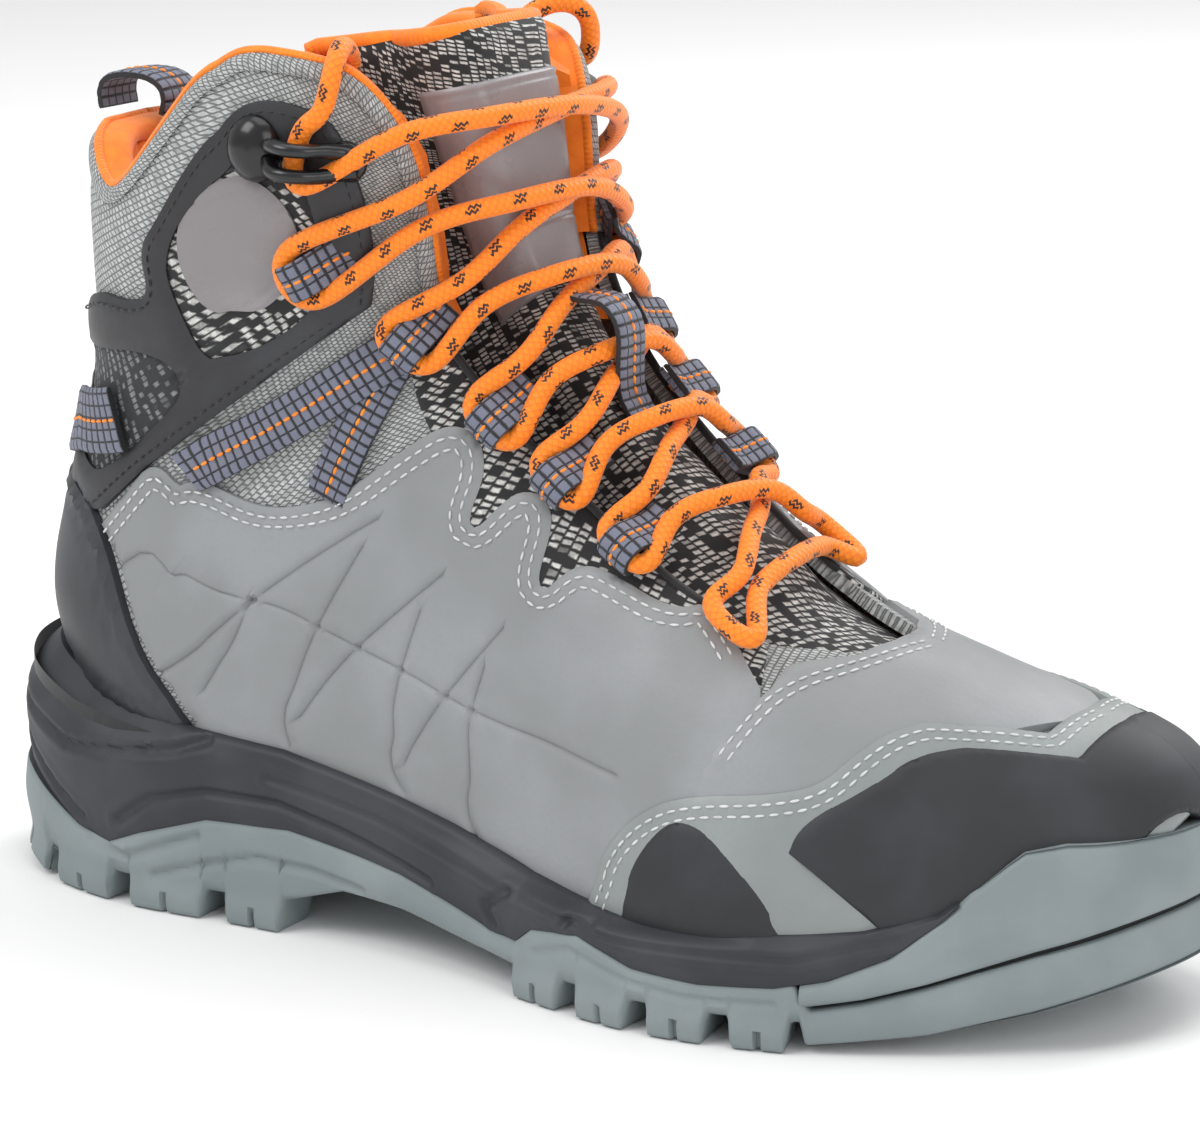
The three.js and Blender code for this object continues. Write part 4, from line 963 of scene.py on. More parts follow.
def area_sign(loop):
    x, y = (loop * CHART).T
    return np.sign((x * np.roll(y, -1) - np.roll(x, -1) * y).sum())


def outset(loop, distance):
    """A closed loop grown outwards by a distance, or shrunk by a negative one."""
    return beside(loop, distance * area_sign(loop), closed=True)


for label, hole, material in (("side", overlay_holes[0], WEAVE), ("rear", overlay_holes[1], DARK_WEAVE)):
    loop = resample(outset(hole, 2.5), 2.5, closed=True)
    loop[:, 1] = np.maximum(loop[:, 1], -0.9999)
    for name, part in zip(("lateral", "medial"), both_sides(loop, window_cloth_height(0.9), -0.3, gap=2.4)):
        mesh_piece(f"{label}_window_cloth_{name}", part[0], part[1], material, uv=part[2], slot="knit")


def ankle_patch_height(st, place, edge):
    return lip(edge, 2.9, 0.7) - 0.35 * np.exp(-((edge - 2.4) / 0.6) ** 2)


badge_loop = resample(cut_corners(find(BADGE, -1), closed=True, rounds=3), 1.5, closed=True)
for name, part in zip(("lateral", "medial"), both_sides(badge_loop, ankle_patch_height, 0.5, gap=1.4)):
    mesh_piece(f"ankle_patch_{name}", part[0], part[1], BADGE_GREY, uv=part[2],
               replaces=[f"ankle_badge_{name}"], slot="badge", sharp=55)


# ---------------------------------------------------------------- stitching
CAPSULE_RINGS = [(-1.0, 0.0), (-0.8, 0.62), (-0.35, 0.96), (0.35, 0.96), (0.8, 0.62), (1.0, 0.0)]


def threads(starts, ends, outs, radius):
    """Short rounded stitches between pairs of points."""
    starts, ends, outs = (np.asarray(a, float) for a in (starts, ends, outs))
    centre, half = (starts + ends) / 2, (ends - starts) / 2
    along = unit(half)
    side = unit(np.cross(along, outs))
    out = np.cross(side, along)
    sides = 6
    angle = np.arange(sides) * 2 * np.pi / sides
    verts, faces = [], []
    for k in range(len(centre)):
        base = k * len(CAPSULE_RINGS) * sides
        for f, r in CAPSULE_RINGS:
            ring = centre[k] + half[k] * f + radius * max(r, 0.05) * (
                np.cos(angle)[:, None] * side[k] + np.sin(angle)[:, None] * out[k])
            verts.append(ring)
        for r in range(len(CAPSULE_RINGS) - 1):
            a, b = base + r * sides, base + (r + 1) * sides
            faces += [[a + j, a + (j + 1) % sides, b + (j + 1) % sides, b + j] for j in range(sides)]
    verts = np.vstack(verts)
    return verts, faces, verts[:, [0, 2]]


def stitched(line, height, pitch=3.0, length=2.15, radius=0.32):
    """Stitches along a line of the chart, lying at a height over the last."""
    points = resample(line, pitch)
    nxt = points[:-1] + (points[1:] - points[:-1]) * (length / pitch)
    return threads(skin(points[:-1], height), skin(nxt, height), normals(points[:-1]), radius)


def stitch_rows(name, rows, material, slot, **kw):
    """Rows are (lateral line, height); each is sewn on both sides of the boot."""
    parts = []
    for line, height in rows:
        parts += [stitched(line, height, **kw), stitched(mirror(line), height, **kw)]
    verts, faces, uv = joined(parts)
    return mesh_piece(name, verts, faces, material, uv=uv, slot=slot)


quarter_edge = resample(cut_corners(find(QUARTER_TOP, -1), rounds=2), 1.5)
cap_edge = resample(CAP_LINE, 1.5)
throat_front = cut_corners(
    np.vstack([find([[60, 62], [63, 68], [68, 75.5]], -1), [[4.57, -0.13], [4.40, RIDGE]]]), rounds=2)
overlay_top = resample(cut_corners(find(OVERLAY_TOP, -1), rounds=2), 1.5)
overlay_low = resample(cut_corners(find([*OVERLAY_LOW, [-34, 150]], -1), rounds=1), 1.5)

stitch_rows("stitching_white", [
    (beside(quarter_edge, -2.3), 2.05), (beside(quarter_edge, -4.7), 2.1),
    (beside(cap_edge, -2.2), 3.1), (beside(cap_edge, -4.4), 3.1),
    (beside(resample(throat_front, 1.5), -2.4), 2.2), (beside(resample(throat_front, 1.5), -4.6), 2.2),
], THREAD_WHITE, "leather")
stitch_rows("stitching_black", [
    (beside(overlay_top, 2.2), 3.2), (beside(overlay_low, 2.2), 2.6),
], THREAD_BLACK, "overlay", pitch=2.8, length=1.9, radius=0.26)


# ---------------------------------------------------------------- collar
below_collar = find([[-21, 148]], -1)
collar_line = resample(np.vstack([collar_edge(-1, 2), below_collar]), 1.8)
collar_medial = resample(np.vstack([collar_edge(1, 2), mirror(below_collar)]), 1.8)
ROLL_START, ROLL_SPLIT, ROLL_END = -0.35, 1.25, np.pi + 0.5


def collar_roll(line, sign, first, end):
    """The padded rim: from the outer face over the top to the lining, or a part of that turn."""
    here = last(line)
    beyond = unit(np.cross(normals(line), unit(np.gradient(here, axis=0)))) * sign
    steps = np.linspace(first, end, 10)
    verts, uvs = [], []
    run = np.concatenate([[0], np.cumsum(np.linalg.norm(np.diff(here, axis=0), axis=1))])
    for a in steps:
        offset = -3.9 + 5.0 * np.cos(a) * (1 if np.cos(a) > 0 else 1.08)
        rise = 3.0 * np.sign(np.sin(a)) * np.abs(np.sin(a)) ** 0.7
        verts.append(skin(line, np.full(len(line), offset)) + beyond * rise)
        uvs.append(np.stack([run, np.full(len(line), a * 4.6)], 1))
    n, m = len(line), len(steps)
    faces = quads(m, n)
    if sign < 0:
        faces = [f[::-1] for f in faces]
    return np.vstack(verts), faces, np.vstack(uvs)


seamed("collar_roll", [collar_roll(collar_line, 1, ROLL_SPLIT, ROLL_END),
                       collar_roll(collar_medial, -1, ROLL_SPLIT, ROLL_END)], ORANGE,
       replaces=["collar_binding"], slot="binding")
seamed("collar_rim_knit", [collar_roll(collar_line, 1, ROLL_START, ROLL_SPLIT),
                           collar_roll(collar_medial, -1, ROLL_START, ROLL_SPLIT)], MARL, slot="knit")


def piping(line, height, radius):
    return tube(skin(line, height), radius, sides=8)


verts, faces, uv = joined([piping(beside(collar_line, 2.7), -1.4, 1.1),
                           piping(beside(collar_medial, -2.7), -1.4, 1.1)])
mesh_piece("collar_piping", verts, faces, ORANGE_TAPE, uv=uv, slot="binding")


def lining_outline(side):
    other = mirror if side > 0 else np.asarray
    top = resample(collar_edge(side), 1.5)
    low = resample(find([[-22, 150], [-45, 128], [-80, 112], [-120, 104]], -1), 2.5)
    return np.vstack([top, other(low), other(back_line(104, COLLAR_TOP - 3, 34))])


def lining_height(st, place, edge):
    return -8.6 + 0.45 * np.sin(st[:, 1] * CHART[1] * 2 * np.pi / 3.6) + 0.8 * smoothstep(edge, 8, 0)


def turned(part):
    return part[0], [f[::-1] for f in part[1]], part[2]


lining_parts = [turned(p) for p in both_sides(
    lining_outline(-1), lining_height, -8.7, medial=lining_outline(1), gap=1.4, seam=at_back)]
seamed("collar_lining_ribbed", lining_parts, ORANGE, replaces=["collar_lining"], slot="lining")

# the pieces inside keep their CAD shape
FOOTBED_CLOTH = cloth("footbed_cloth", "#3a3b3e", "#2c2d30", rib=2.0)
FIBRE_BOARD = cloth("fibre_board", "#b5a486", "#a3937a")
SHANK_STEEL = plastic("shank_steel", "#8d9296", "#9aa0a4", rough=(0.25, 0.4))
INSIDE = {
    "collar_padding_lateral": ORANGE, "collar_padding_medial": ORANGE, "footbed": FOOTBED_CLOTH,
    "lasting_board": FIBRE_BOARD, "heel_stiffener": FIBRE_BOARD, "toe_puff": FIBRE_BOARD,
    "shank": SHANK_STEEL,
}
for label, material in INSIDE.items():
    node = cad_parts[label]
    node.data.materials.clear()
    node.data.materials.append(material)

throat_line = resample(cut_corners(find([[-21.5, 152], *THROAT], -1), rounds=2), 2.0)
verts, faces, uv = joined([piping(throat_line, 0.6, 1.0), piping(mirror(throat_line), 0.6, 1.0)])
mesh_piece("throat_piping", verts, faces, PIPING_BLACK, uv=uv, slot="webbing")

# woven fabric between the leather and the throat
weave_zone = np.vstack([
    resample(find([[-24, 146], *THROAT, [64, 81]], -1), 2.0),
    resample(find([
        [66, 74], [44, 80], [20, 84], [4, 90], [-12, 98], [-14, 112], [-22, 124], [-26, 138]], -1), 2.0)])


def weave_height(st, place, edge):
    return lip(edge, 1.0, 0.6)


for name, part in zip(("lateral", "medial"), both_sides(weave_zone, weave_height, -0.4, gap=2.2)):
    mesh_piece(f"throat_weave_{name}", part[0], part[1], WEAVE, uv=part[2], slot="knit")

# ---------------------------------------------------------------- tongue
TONGUE_FROM, TONGUE_TO, TONGUE_THICK = 5.5, 14.85, 5.0
TONGUE_ROOT = -0.14          # where the tongue starts under the vamp, on its own scale u
TONGUE_CENTRE = -0.062       # the tongue follows the throat towards the lateral side


def tongue_offset(u, across):
    edge = -4.6 - 11.0 * smoothstep(u, 0.1, 0.3)
    crown = -1.4 - 3.2 * smoothstep(-u, -0.03, 0.05)
    return crown + (edge - crown) * smoothstep(np.abs(across), 0.12, 0.5)


def tongue_st(u, across):
    s = TONGUE_FROM + (TONGUE_TO + 0.3 * across ** 2 - TONGUE_FROM) * u
    return np.stack([s, TONGUE_CENTRE * smoothstep(u, 0, 0.2) + across * (0.26 + 0.26 * u)], 1)


def tongue_face(u, across, lift):
    st = tongue_st(u, across)
    return skin(st, tongue_offset(u, across) + lift)


def tongue_grid(rows, columns, lift, u_range=(0, 1), a_range=(-1, 1), flip=False):
    u, a = np.meshgrid(np.linspace(*u_range, rows), np.linspace(*a_range, columns), indexing="ij")
    u, a = u.ravel(), a.ravel()
    verts = tongue_face(u, a, lift(u, a))
    faces = quads(rows, columns)
    if flip:
        faces = [f[::-1] for f in faces]
    return verts, faces, np.stack([a * 38 * (1 + u), u * 235], 1)


def tongue_front(u, a):
    puff = 1.0 * smoothstep(u, 0.1, 0.25) * (1 - smoothstep(np.abs(a), 0.35, 1.0))
    fold = -0.8 * np.exp(-((u - 0.445) / 0.012) ** 2) * (np.abs(a) < 0.8)
    return -2.4 * smoothstep(np.abs(a), 0.86, 1.0) + puff * 0.5 + fold - 1.0 * smoothstep(u, 0.985, 1.0)


def tongue_back(u, a):
    return -TONGUE_THICK + 2.2 * smoothstep(np.abs(a), 0.86, 1.0) + 1.0 * smoothstep(u, 0.985, 1.0)


verts, faces, uv = joined([tongue_grid(120, 61, tongue_front, (TONGUE_ROOT, 1)),
                           tongue_grid(60, 61, tongue_back, (TONGUE_ROOT, 1), flip=True)])
tongue = mesh_piece("tongue_knit", verts, faces, WEAVE, body="tongue", uv=uv,
                    replaces=["tongue"], slot="tongue_knit")
weld(tongue, 0.6)

top_a = np.linspace(-1, 1, 90)
top_line = tongue_face(np.full(90, 1.0), top_a, np.full(90, -TONGUE_THICK / 2))
side_u = np.linspace(1.0, 0.62, 40)
left = tongue_face(side_u, np.full(40, -1.0), np.full(40, -TONGUE_THICK / 2))
right = tongue_face(side_u, np.full(40, 1.0), np.full(40, -TONGUE_THICK / 2))
edge_run = np.vstack([left[::-1], top_line[1:-1], right])
verts, faces, uv = tube(edge_run, 2.1, sides=10)
mesh_piece("tongue_edge_binding", verts, faces, ORANGE_TAPE, body="tongue", uv=uv,
           replaces=["tongue_binding"], slot="binding")


def badge_lift(u, a):
    du = np.minimum(u - 0.43, 0.915 - u) * 235
    da = (0.42 - np.abs(a)) * 62
    edge = np.minimum(du, da)
    h = 0.2 + 1.5 * np.sqrt(np.clip(edge / 1.4, 0, 1))
    frame_line = np.exp(-((edge - 3.6) / 0.7) ** 2)
    return h - 0.45 * frame_line - 0.5 * np.exp(-(((u - 0.575) * 235) / 1.2) ** 2) * (edge > 3)


badge = tongue_grid(90, 50, badge_lift, (0.43, 0.915), (-0.42, 0.42))
mesh_piece("tongue_patch", *badge[:2], BADGE_GREY, body="tongue", uv=badge[2],
           replaces=["tongue_badge"], slot="badge")


# ---------------------------------------------------------------- webbing
def strap_between(lefts, rights, outs, thick, width, rib=2.6):
    """A flat woven strap between two edges, ribbed across, with its outer face along outs."""
    n = len(lefts)
    columns = np.array([0.0, 0.0, 0.08, 0.25, 0.42, 0.5, 0.58, 0.75, 0.92, 1.0, 1.0])
    rises = np.array([-1.0, 0.35, 1.0, 1.08, 1.05, 1.0, 1.05, 1.08, 1.0, 0.35, -1.0])
    middle = (lefts + rights) / 2
    run = np.concatenate([[0], np.cumsum(np.linalg.norm(np.diff(middle, axis=0), axis=1))])
    ridge = 0.22 * np.abs(np.sin(run * np.pi / rib)) ** 0.6
    verts, uvs = [], []
    for c, r in zip(columns, rises):
        lift = r * thick / 2 + (ridge if 0 < r else -ridge * 0.3)
        verts.append(lefts + (rights - lefts) * c + outs * np.reshape(lift, (-1, 1)))
        uvs.append(np.stack([np.full(n, c * width), run], 1))
    m = len(columns)
    faces = quads(m, n)
    faces += [[(m - 1) * n + j, (m - 1) * n + j + 1, j + 1, j] for j in range(n - 1)]
    faces += [[i * n for i in range(m)][::-1], [i * n + n - 1 for i in range(m)]]
    return np.vstack(verts), faces, np.vstack(uvs)


def centre_stitch(lefts, rights, outs, thick, rib=2.6):
    middle = (lefts + rights) / 2 + outs * (thick / 2 + 0.22)
    run = np.concatenate([[0], np.cumsum(np.linalg.norm(np.diff(middle, axis=0), axis=1))])
    count = int(run[-1] // rib)
    starts, ends, ups = [], [], []
    for k in range(count):
        for f, bag in ((k * rib + 0.25, starts), (k * rib + 2.2, ends)):
            bag.append([np.interp(f, run, middle[:, i]) for i in range(3)])
        ups.append([np.interp(k * rib + 1.2, run, outs[:, i]) for i in range(3)])
    return threads(starts, ends, unit(np.array(ups)), 0.42)


def dense(line3, gap=0.6):
    run = np.concatenate([[0], np.cumsum(np.linalg.norm(np.diff(line3, axis=0), axis=1))])
    want = np.linspace(0, run[-1], max(int(run[-1] / gap), 8))
    return np.stack([np.interp(want, run, line3[:, k]) for k in range(3)], 1)


STITCHES = []


def lying_strap(line, width, height, thick=1.3):
    """A strap lying on the last along a line of the chart."""
    line = resample(line, 0.65)
    lefts, rights = skin(beside(line, width / 2), height), skin(beside(line, -width / 2), height)
    outs = normals(line)
    STITCHES.append(centre_stitch(lefts, rights, outs, thick))
    return strap_between(lefts, rights, outs, thick, width)


LEG_LONG = [[-25, 142], [-34, 136], [-60, 119], [-84, 104.5]]
LEG_SHORT = [[-30, 137], [-35, 128], [-41, 116], [-46, 104]]
for name, flip in (("lateral", lambda x: x), ("medial", mirror)):
    long_leg = lying_strap(flip(cut_corners(find(LEG_LONG, -1), rounds=2)), 11, 2.3)
    short_leg = lying_strap(flip(cut_corners(find(LEG_SHORT, -1), rounds=1)), 10, 1.5)
    verts, faces, uv = joined([long_leg, short_leg])
    mesh_piece(f"v_strap_{name}_webbing", verts, faces, STRAP, uv=uv,
               replaces=[f"v_strap_{name}"], slot="webbing", sharp=60)

tab_line = np.vstack([find([[-102, 117]], -1), find([[-116, 114]], -1), back_line(111, 111, 1)])
tab_parts = [lying_strap(tab_line, 15, 3.4), lying_strap(mirror(tab_line), 15, 3.4)]
verts, faces, uv = joined(tab_parts)
mesh_piece("rear_tab_webbing", verts, faces, STRAP, uv=uv,
           replaces=["rear_webbing_tab"], slot="webbing", sharp=60)

# ---------------------------------------------------------------- lace, its loops and hooks
LACE_ANCHORS = [[56, 84], [30, 98], [11, 111], [-6, 124], [-26, 141], [-47, 158], [-44, 184]]
HOOK = 6
LOOP_LIFT, LOOP_REACH, LACE_RADIUS = 5.8, 6.5, 2.3
STRAND_LIFT = 5.0
ANCHOR_ST = {-1: find(LACE_ANCHORS, -1), 1: mirror(find(LACE_ANCHORS, -1))}


def lace_frame(index, side):
    st = ANCHOR_ST[side]
    places = last(st)
    out = normals(st[index:index + 1])[0]
    ahead, behind = places[min(index + 1, HOOK)], places[max(index - 1, 0)]
    along = unit(ahead - behind)
    across = unit(np.cross(along, out)) * -side
    along = unit(along - out * np.dot(along, out))
    return places[index], along, out, across


def through(index, side, upwards):
    origin, along, out, _ = lace_frame(index, side)
    centre = origin + out * LOOP_LIFT
    sign = 1 if upwards else -1
    return [centre - along * sign * LOOP_REACH, centre, centre + along * sign * LOOP_REACH]


def throat_point(level, share, lift):
    st = ANCHOR_ST[-1 if share < 0 else 1]
    lo, hi = int(math.floor(level)), int(math.ceil(level))
    here = st[lo] + (st[hi] - st[lo]) * (level - lo)
    return skin([[here[0], abs(here[1]) * share]], lift)[0]


# how each end of the lace goes over the collar and down inside it: x, z and offset
TUCK = [
    [-39, 194, 6.0], [-37, 204, 4.2], [-37, 208, -3], [-38, 203, -12.2], [-41, 190, -12.6],
    [-45, 172, -12.6],
]


def lace_half(first, lift):
    points, side = [], first
    for level in range(1, HOOK + 1):
        height = lift(level)
        between = (height + STRAND_LIFT) / 2
        medial = [(0.45, between)] if level < HOOK else [(1 / 3, between), (2 / 3, STRAND_LIFT)]
        strand = [(-2 / 3, STRAND_LIFT), (-1 / 3, between), (0, height), *medial]
        if side < 0:
            strand.reverse()
        points += [throat_point(level - 0.5 + side * share / 2, share, rise) for share, rise in strand]
        entry, centre, leave = through(level, side, True)
        points += [entry, leave]
        side = -side
    for x, z, depth in TUCK:
        st = find([[x, z]], -1)
        points.append(skin(mirror(st) if side < 0 else st, depth)[0])
    return points


CROSS_UNDER, CROSS_OVER = 3.2, 7.9
first = lace_half(1, lambda level: CROSS_UNDER if level % 2 else CROSS_OVER)[::-1]
second = lace_half(-1, lambda level: CROSS_OVER if level % 2 else CROSS_UNDER)
low_l, low_m = through(0, -1, False), through(0, 1, True)
bar = [throat_point(0, share, 3.6) for share in (-2 / 3, -1 / 3, 0, 1 / 3, 2 / 3)]
lace_points = np.array([*first, low_l[0], low_l[2], *bar, low_m[0], low_m[2], *second])
lace_path = dense(curve_through(lace_points, 10), 1.1)
for _ in range(6):
    lace_path[1:-1] = lace_path[1:-1] * 0.5 + (lace_path[:-2] + lace_path[2:]) * 0.25
verts, faces, uv = tube(lace_path, LACE_RADIUS, sides=14)
mesh_piece("lace_round", verts, faces, LACE, uv=uv, replaces=["lace"], slot="lace")


LOOP_PROFILE = np.array([[12.5, 1.9], [8.5, 3.0], [4.8, 6.2], [2.4, 8.6], [0, 9.3], [-2.6, 8.6], [-3.9, 5.8],
                         [-2.8, 3.3], [0, 2.3], [4, 1.6], [8, 1.0], [12.5, 0.6]])


def webbing_loop(index, side, width=8.8, thick=1.1):
    origin, along, out, across = lace_frame(index, side)
    path2 = curve_through(LOOP_PROFILE, 6)
    path = dense(origin + across * path2[:, :1] + out * path2[:, 1:], 0.65)
    ahead = unit(np.gradient(path, axis=0))
    outs = unit(np.cross(ahead, along)) * side
    middle = origin + out * LOOP_LIFT
    if (outs[len(outs) // 2] * (path[len(path) // 2] - middle)).sum() < 0:
        outs = -outs
    lefts, rights = path - along * width / 2, path + along * width / 2
    STITCHES.append(centre_stitch(lefts, rights, outs, thick))
    return strap_between(lefts, rights, outs, thick, width)


for side, name in ((-1, "lateral"), (1, "medial")):
    for k in range(1, HOOK):
        part = webbing_loop(k, side)
        obj = mesh_piece(f"lace_loop_{name}_{k}_webbing", part[0], part[1], STRAP, uv=part[2],
                         replaces=[f"lace_loop_{name}_{k}"], slot="webbing", sharp=60)
        obj.data.update()


def hook_piece(side):
    """Base plate, domed boss and two prongs over the lace."""
    origin, along, out, across = lace_frame(HOOK, side)

    def at(a, o, l=0.0):
        return origin + across * a + out * o + along * l

    parts = []
    for l in (-2.9, 2.9):
        line = curve_through([
            at(12.5, 2.4, l * 0.55), at(9.0, 3.4, l * 0.8), at(5.6, 6.6, l), at(2.5, 9.6, l),
            at(-1.5, 10.6, l), at(-5.0, 9.2, l), at(-7.2, 6.0, l * 0.7)], 6)
        n = len(line)
        radius = np.interp(np.arange(n), [0, n / 2, n], [2.5, 2.0, 2.3])
        parts.append(tube(line, radius, sides=12, flat=0.8))
    rings, sides = [], 28
    angle = np.arange(sides) * 2 * np.pi / sides
    for r, h in ((7.4, 1.2), (7.4, 2.4), (7.0, 3.6), (5.9, 5.0), (4.2, 6.1), (2.2, 6.7), (0.02, 6.9)):
        rings.append(np.array([at(-12.6 + r * 0.92 * math.cos(a), h, r * 1.05 * math.sin(a)) for a in angle]))
    verts = np.vstack(rings)
    faces = ring_quads(len(rings), sides)
    boss = (verts, faces, verts[:, [0, 2]])
    rings = []
    for w, h in ((4.6, 1.2), (4.8, 1.9), (4.4, 2.7), (3.4, 3.0)):
        rings.append(np.array([at(9.0 + 5.2 * w / 4.6 * math.cos(a), h, w * math.sin(a)) for a in angle]))
    verts = np.vstack(rings)
    faces = ring_quads(len(rings), sides)
    faces.append([(len(rings) - 1) * sides + j for j in range(sides)])
    plate = (verts, faces, verts[:, [0, 2]])
    return parts, boss, plate


for side, name in ((-1, "lateral"), (1, "medial")):
    prongs, boss, plate = hook_piece(side)
    verts, faces, uv = joined([*prongs, plate])
    hook = mesh_piece(f"lace_hook_{name}_moulded", verts, faces, HOOK_BLACK, uv=uv,
                      replaces=[f"lace_hook_{name}"], slot="hook_plastic", sharp=60)
    dome = mesh_piece(f"hook_boss_{name}", *boss[:2], STEEL, uv=boss[2], replaces=[f"hook_rivet_{name}"],
                      slot="hook_plastic", sharp=60)
    for obj in (hook, dome):
        bm = bmesh.new()
        bm.from_mesh(obj.data)
        bmesh.ops.recalc_face_normals(bm, faces=bm.faces)
        bm.to_mesh(obj.data)
        bm.free()

# keeper strap on the tongue, over the crossing laces
keeper_u = np.array([0.205, 0.235, 0.262, 0.285, 0.31, 0.335, 0.36, 0.385, 0.41])
keeper_h = np.array([1.0, 2.6, 7.5, 11.6, 14.0, 14.4, 12.6, 6.5, 1.0])
keeper_mid = dense(curve_through(tongue_face(keeper_u, np.zeros(len(keeper_u)), keeper_h), 6), 0.65)
across_boot = np.tile([0.0, 1.0, 0.0], (len(keeper_mid), 1))
keeper_outs = unit(np.cross(across_boot, unit(np.gradient(keeper_mid, axis=0))))
if keeper_outs[len(keeper_outs) // 2][0] < 0:
    keeper_outs = -keeper_outs
side_step = np.array([0.0, 5.5, 0.0])
keeper = strap_between(keeper_mid - side_step, keeper_mid + side_step, keeper_outs, 1.3, 11)
mesh_piece("tongue_keeper_webbing", keeper[0], keeper[1], STRAP, body="tongue", uv=keeper[2],
                        replaces=["tongue_keeper"], slot="webbing", sharp=60)
KEEPER_STITCH = centre_stitch(keeper_mid - side_step, keeper_mid + side_step, keeper_outs, 1.3)
mesh_piece("tongue_keeper_stitching", *KEEPER_STITCH[:2], THREAD_ORANGE, body="tongue",
           uv=KEEPER_STITCH[2], slot="webbing")

# heel pull loop: a folded strap over the top of the heel
PULL = np.array([[-130.5, 184.0], [-131, 188], [-129.5, 191], [-125.5, 192.4], [-121, 192.7], [-116.5, 192.2],
                 [-113, 190.3], [-111.8, 187.2], [-112.6, 183.6]])
pull_mid = dense(np.array([[x, CENTRE_Y, z] for x, z in curve_through(PULL, 6)]), 0.65)
pull_out = unit(np.cross(unit(np.gradient(pull_mid, axis=0)), np.tile([0.0, 1.0, 0.0], (len(pull_mid), 1))))
if pull_out[len(pull_out) // 2][2] < 0:
    pull_out = -pull_out
half = np.array([0.0, 7.0, 0.0])
pull = strap_between(pull_mid - half, pull_mid + half, pull_out, 1.5, 14)
mesh_piece("heel_pull_webbing", pull[0], pull[1], STRAP, body="heel_loop", uv=pull[2],
           replaces=["heel_pull_loop"], slot="webbing", sharp=60)
pull_thread = centre_stitch(pull_mid - half, pull_mid + half, pull_out, 1.5)
mesh_piece("heel_pull_stitching", *pull_thread[:2], THREAD_ORANGE, body="heel_loop",
           uv=pull_thread[2], slot="webbing")

verts, faces, uv = joined(STITCHES)
mesh_piece("stitching_orange", verts, faces, THREAD_ORANGE, uv=uv, slot="webbing")

# ---------------------------------------------------------------- sole
SOLE_PLAN = np.array([
    [-154, 2], [-150, -14], [-140, -28], [-122, -37], [-98, -41], [-65, -40], [-32, -40],
    [-2, -45], [23, -52], [45, -56], [65, -55], [85, -50], [103, -42], [121, -32], [140, -19],
    [151, 0], [154, 17], [153, 32], [144, 44], [125, 50], [100, 52], [74, 51], [50, 46],
    [22, 39], [-8, 35], [-38, 35], [-68, 37], [-98, 39], [-124, 34], [-141, 24], [-151, 13],
], float)
SPLIT = np.array([
    [-170, 30], [-140, 25], [-118, 16], [-107, 14], [-97, 18], [-78, 24], [-55, 25], [-23, 20],
    [5, 13], [13, 12.5], [18, 16.5], [32, 18.5], [47, 14], [63, 13], [80, 14], [91, 16.5],
    [103, 22], [113, 30.5], [120, 38],
    [128, 45], [136, 46.6], [170, 45],
], float)
GROOVE = np.array([[-170, -5], [84, -5], [85, 9], [98, 11.5], [110, 15], [130, 22], [170, 34]], float)
# lugs of the outsole: x at the rear and the front, height of the foot at each
LUGS = [
    (-152, -131, 6.0, 0.6), (-125, -106, 0, 0), (-99, -79, 0, 0), (-72, -57, 0, 0),
    (14, 27, 0, 0), (33, 46, 0, 0), (52, 65, 0, 0), (71, 83, 0, 0),
]
FRONT_BOTTOM = np.array([[86, 1.5], [110, 4.5], [130, 9.5], [154, 17]], float)
LUG_LINE = np.array([
    [-170, 12], [-150, 10.5], [-128, 7], [-60, 6.5], [-50, 9.5], [-40, 12.5], [-22, 11.5], [0, 8],
    [12, 6.5], [84, 6.5], [86, 6.5], [170, 25],
], float)


def closed_curve(points, count):
    """A smooth closed curve of evenly spaced points and its outward normals, anticlockwise from above."""
    ext = np.vstack([points[-2:], points, points[:3]])
    out = []
    for i in range(1, len(ext) - 3):
        p0, p1, p2, p3 = ext[i:i + 4]
        for f in np.arange(24) / 24:
            out.append((2 * p1 + (p2 - p0) * f + (2 * p0 - 5 * p1 + 4 * p2 - p3) * f ** 2
                        + (3 * p1 - p0 - 3 * p2 + p3) * f ** 3) / 2)
    out = np.array(out)[:24 * len(points)]
    loop = np.vstack([out, out[:1]])
    run = np.concatenate([[0], np.cumsum(np.linalg.norm(np.diff(loop, axis=0), axis=1))])
    want = np.linspace(0, run[-1], count, endpoint=False)
    p = np.stack([np.interp(want, run, loop[:, k]) for k in range(2)], 1)
    t = unit(np.roll(p, -1, 0) - np.roll(p, 1, 0))
    return p, np.stack([t[:, 1], -t[:, 0]], 1), want


PLAN, PLAN_OUT, PLAN_RUN = closed_curve(SOLE_PLAN, 1100)
if (PLAN_OUT[0] * [1, 0]).sum() > 0:
    PLAN_OUT = -PLAN_OUT


def line_z(line, x):
    return np.interp(x, line[:, 0], line[:, 1])


def wall(rows, columns=None):
    """A band round the sole. Each row gives (outward distance, height) for every point of the plan."""
    p, out = PLAN, PLAN_OUT
    n = len(p)
    verts, uvs = [], []
    for k, (reach, z) in enumerate(rows):
        xy = p + out * np.reshape(reach, (-1, 1))
        verts.append(np.column_stack([xy, np.broadcast_to(z, n)]))
        uvs.append(np.stack([PLAN_RUN, np.full(n, k * 1.2)], 1))
    faces = []
    for k in range(len(rows) - 1):
        for j in range(n):
            if columns is not None and not (columns[j] and columns[(j + 1) % n]):
                continue
            faces.append([k * n + j, k * n + (j + 1) % n, (k + 1) * n + (j + 1) % n, (k + 1) * n + j])
    used, inverse = np.unique(np.array(faces), return_inverse=True)
    return np.vstack(verts)[used], inverse.reshape(-1, 4).tolist(), np.vstack(uvs)[used]


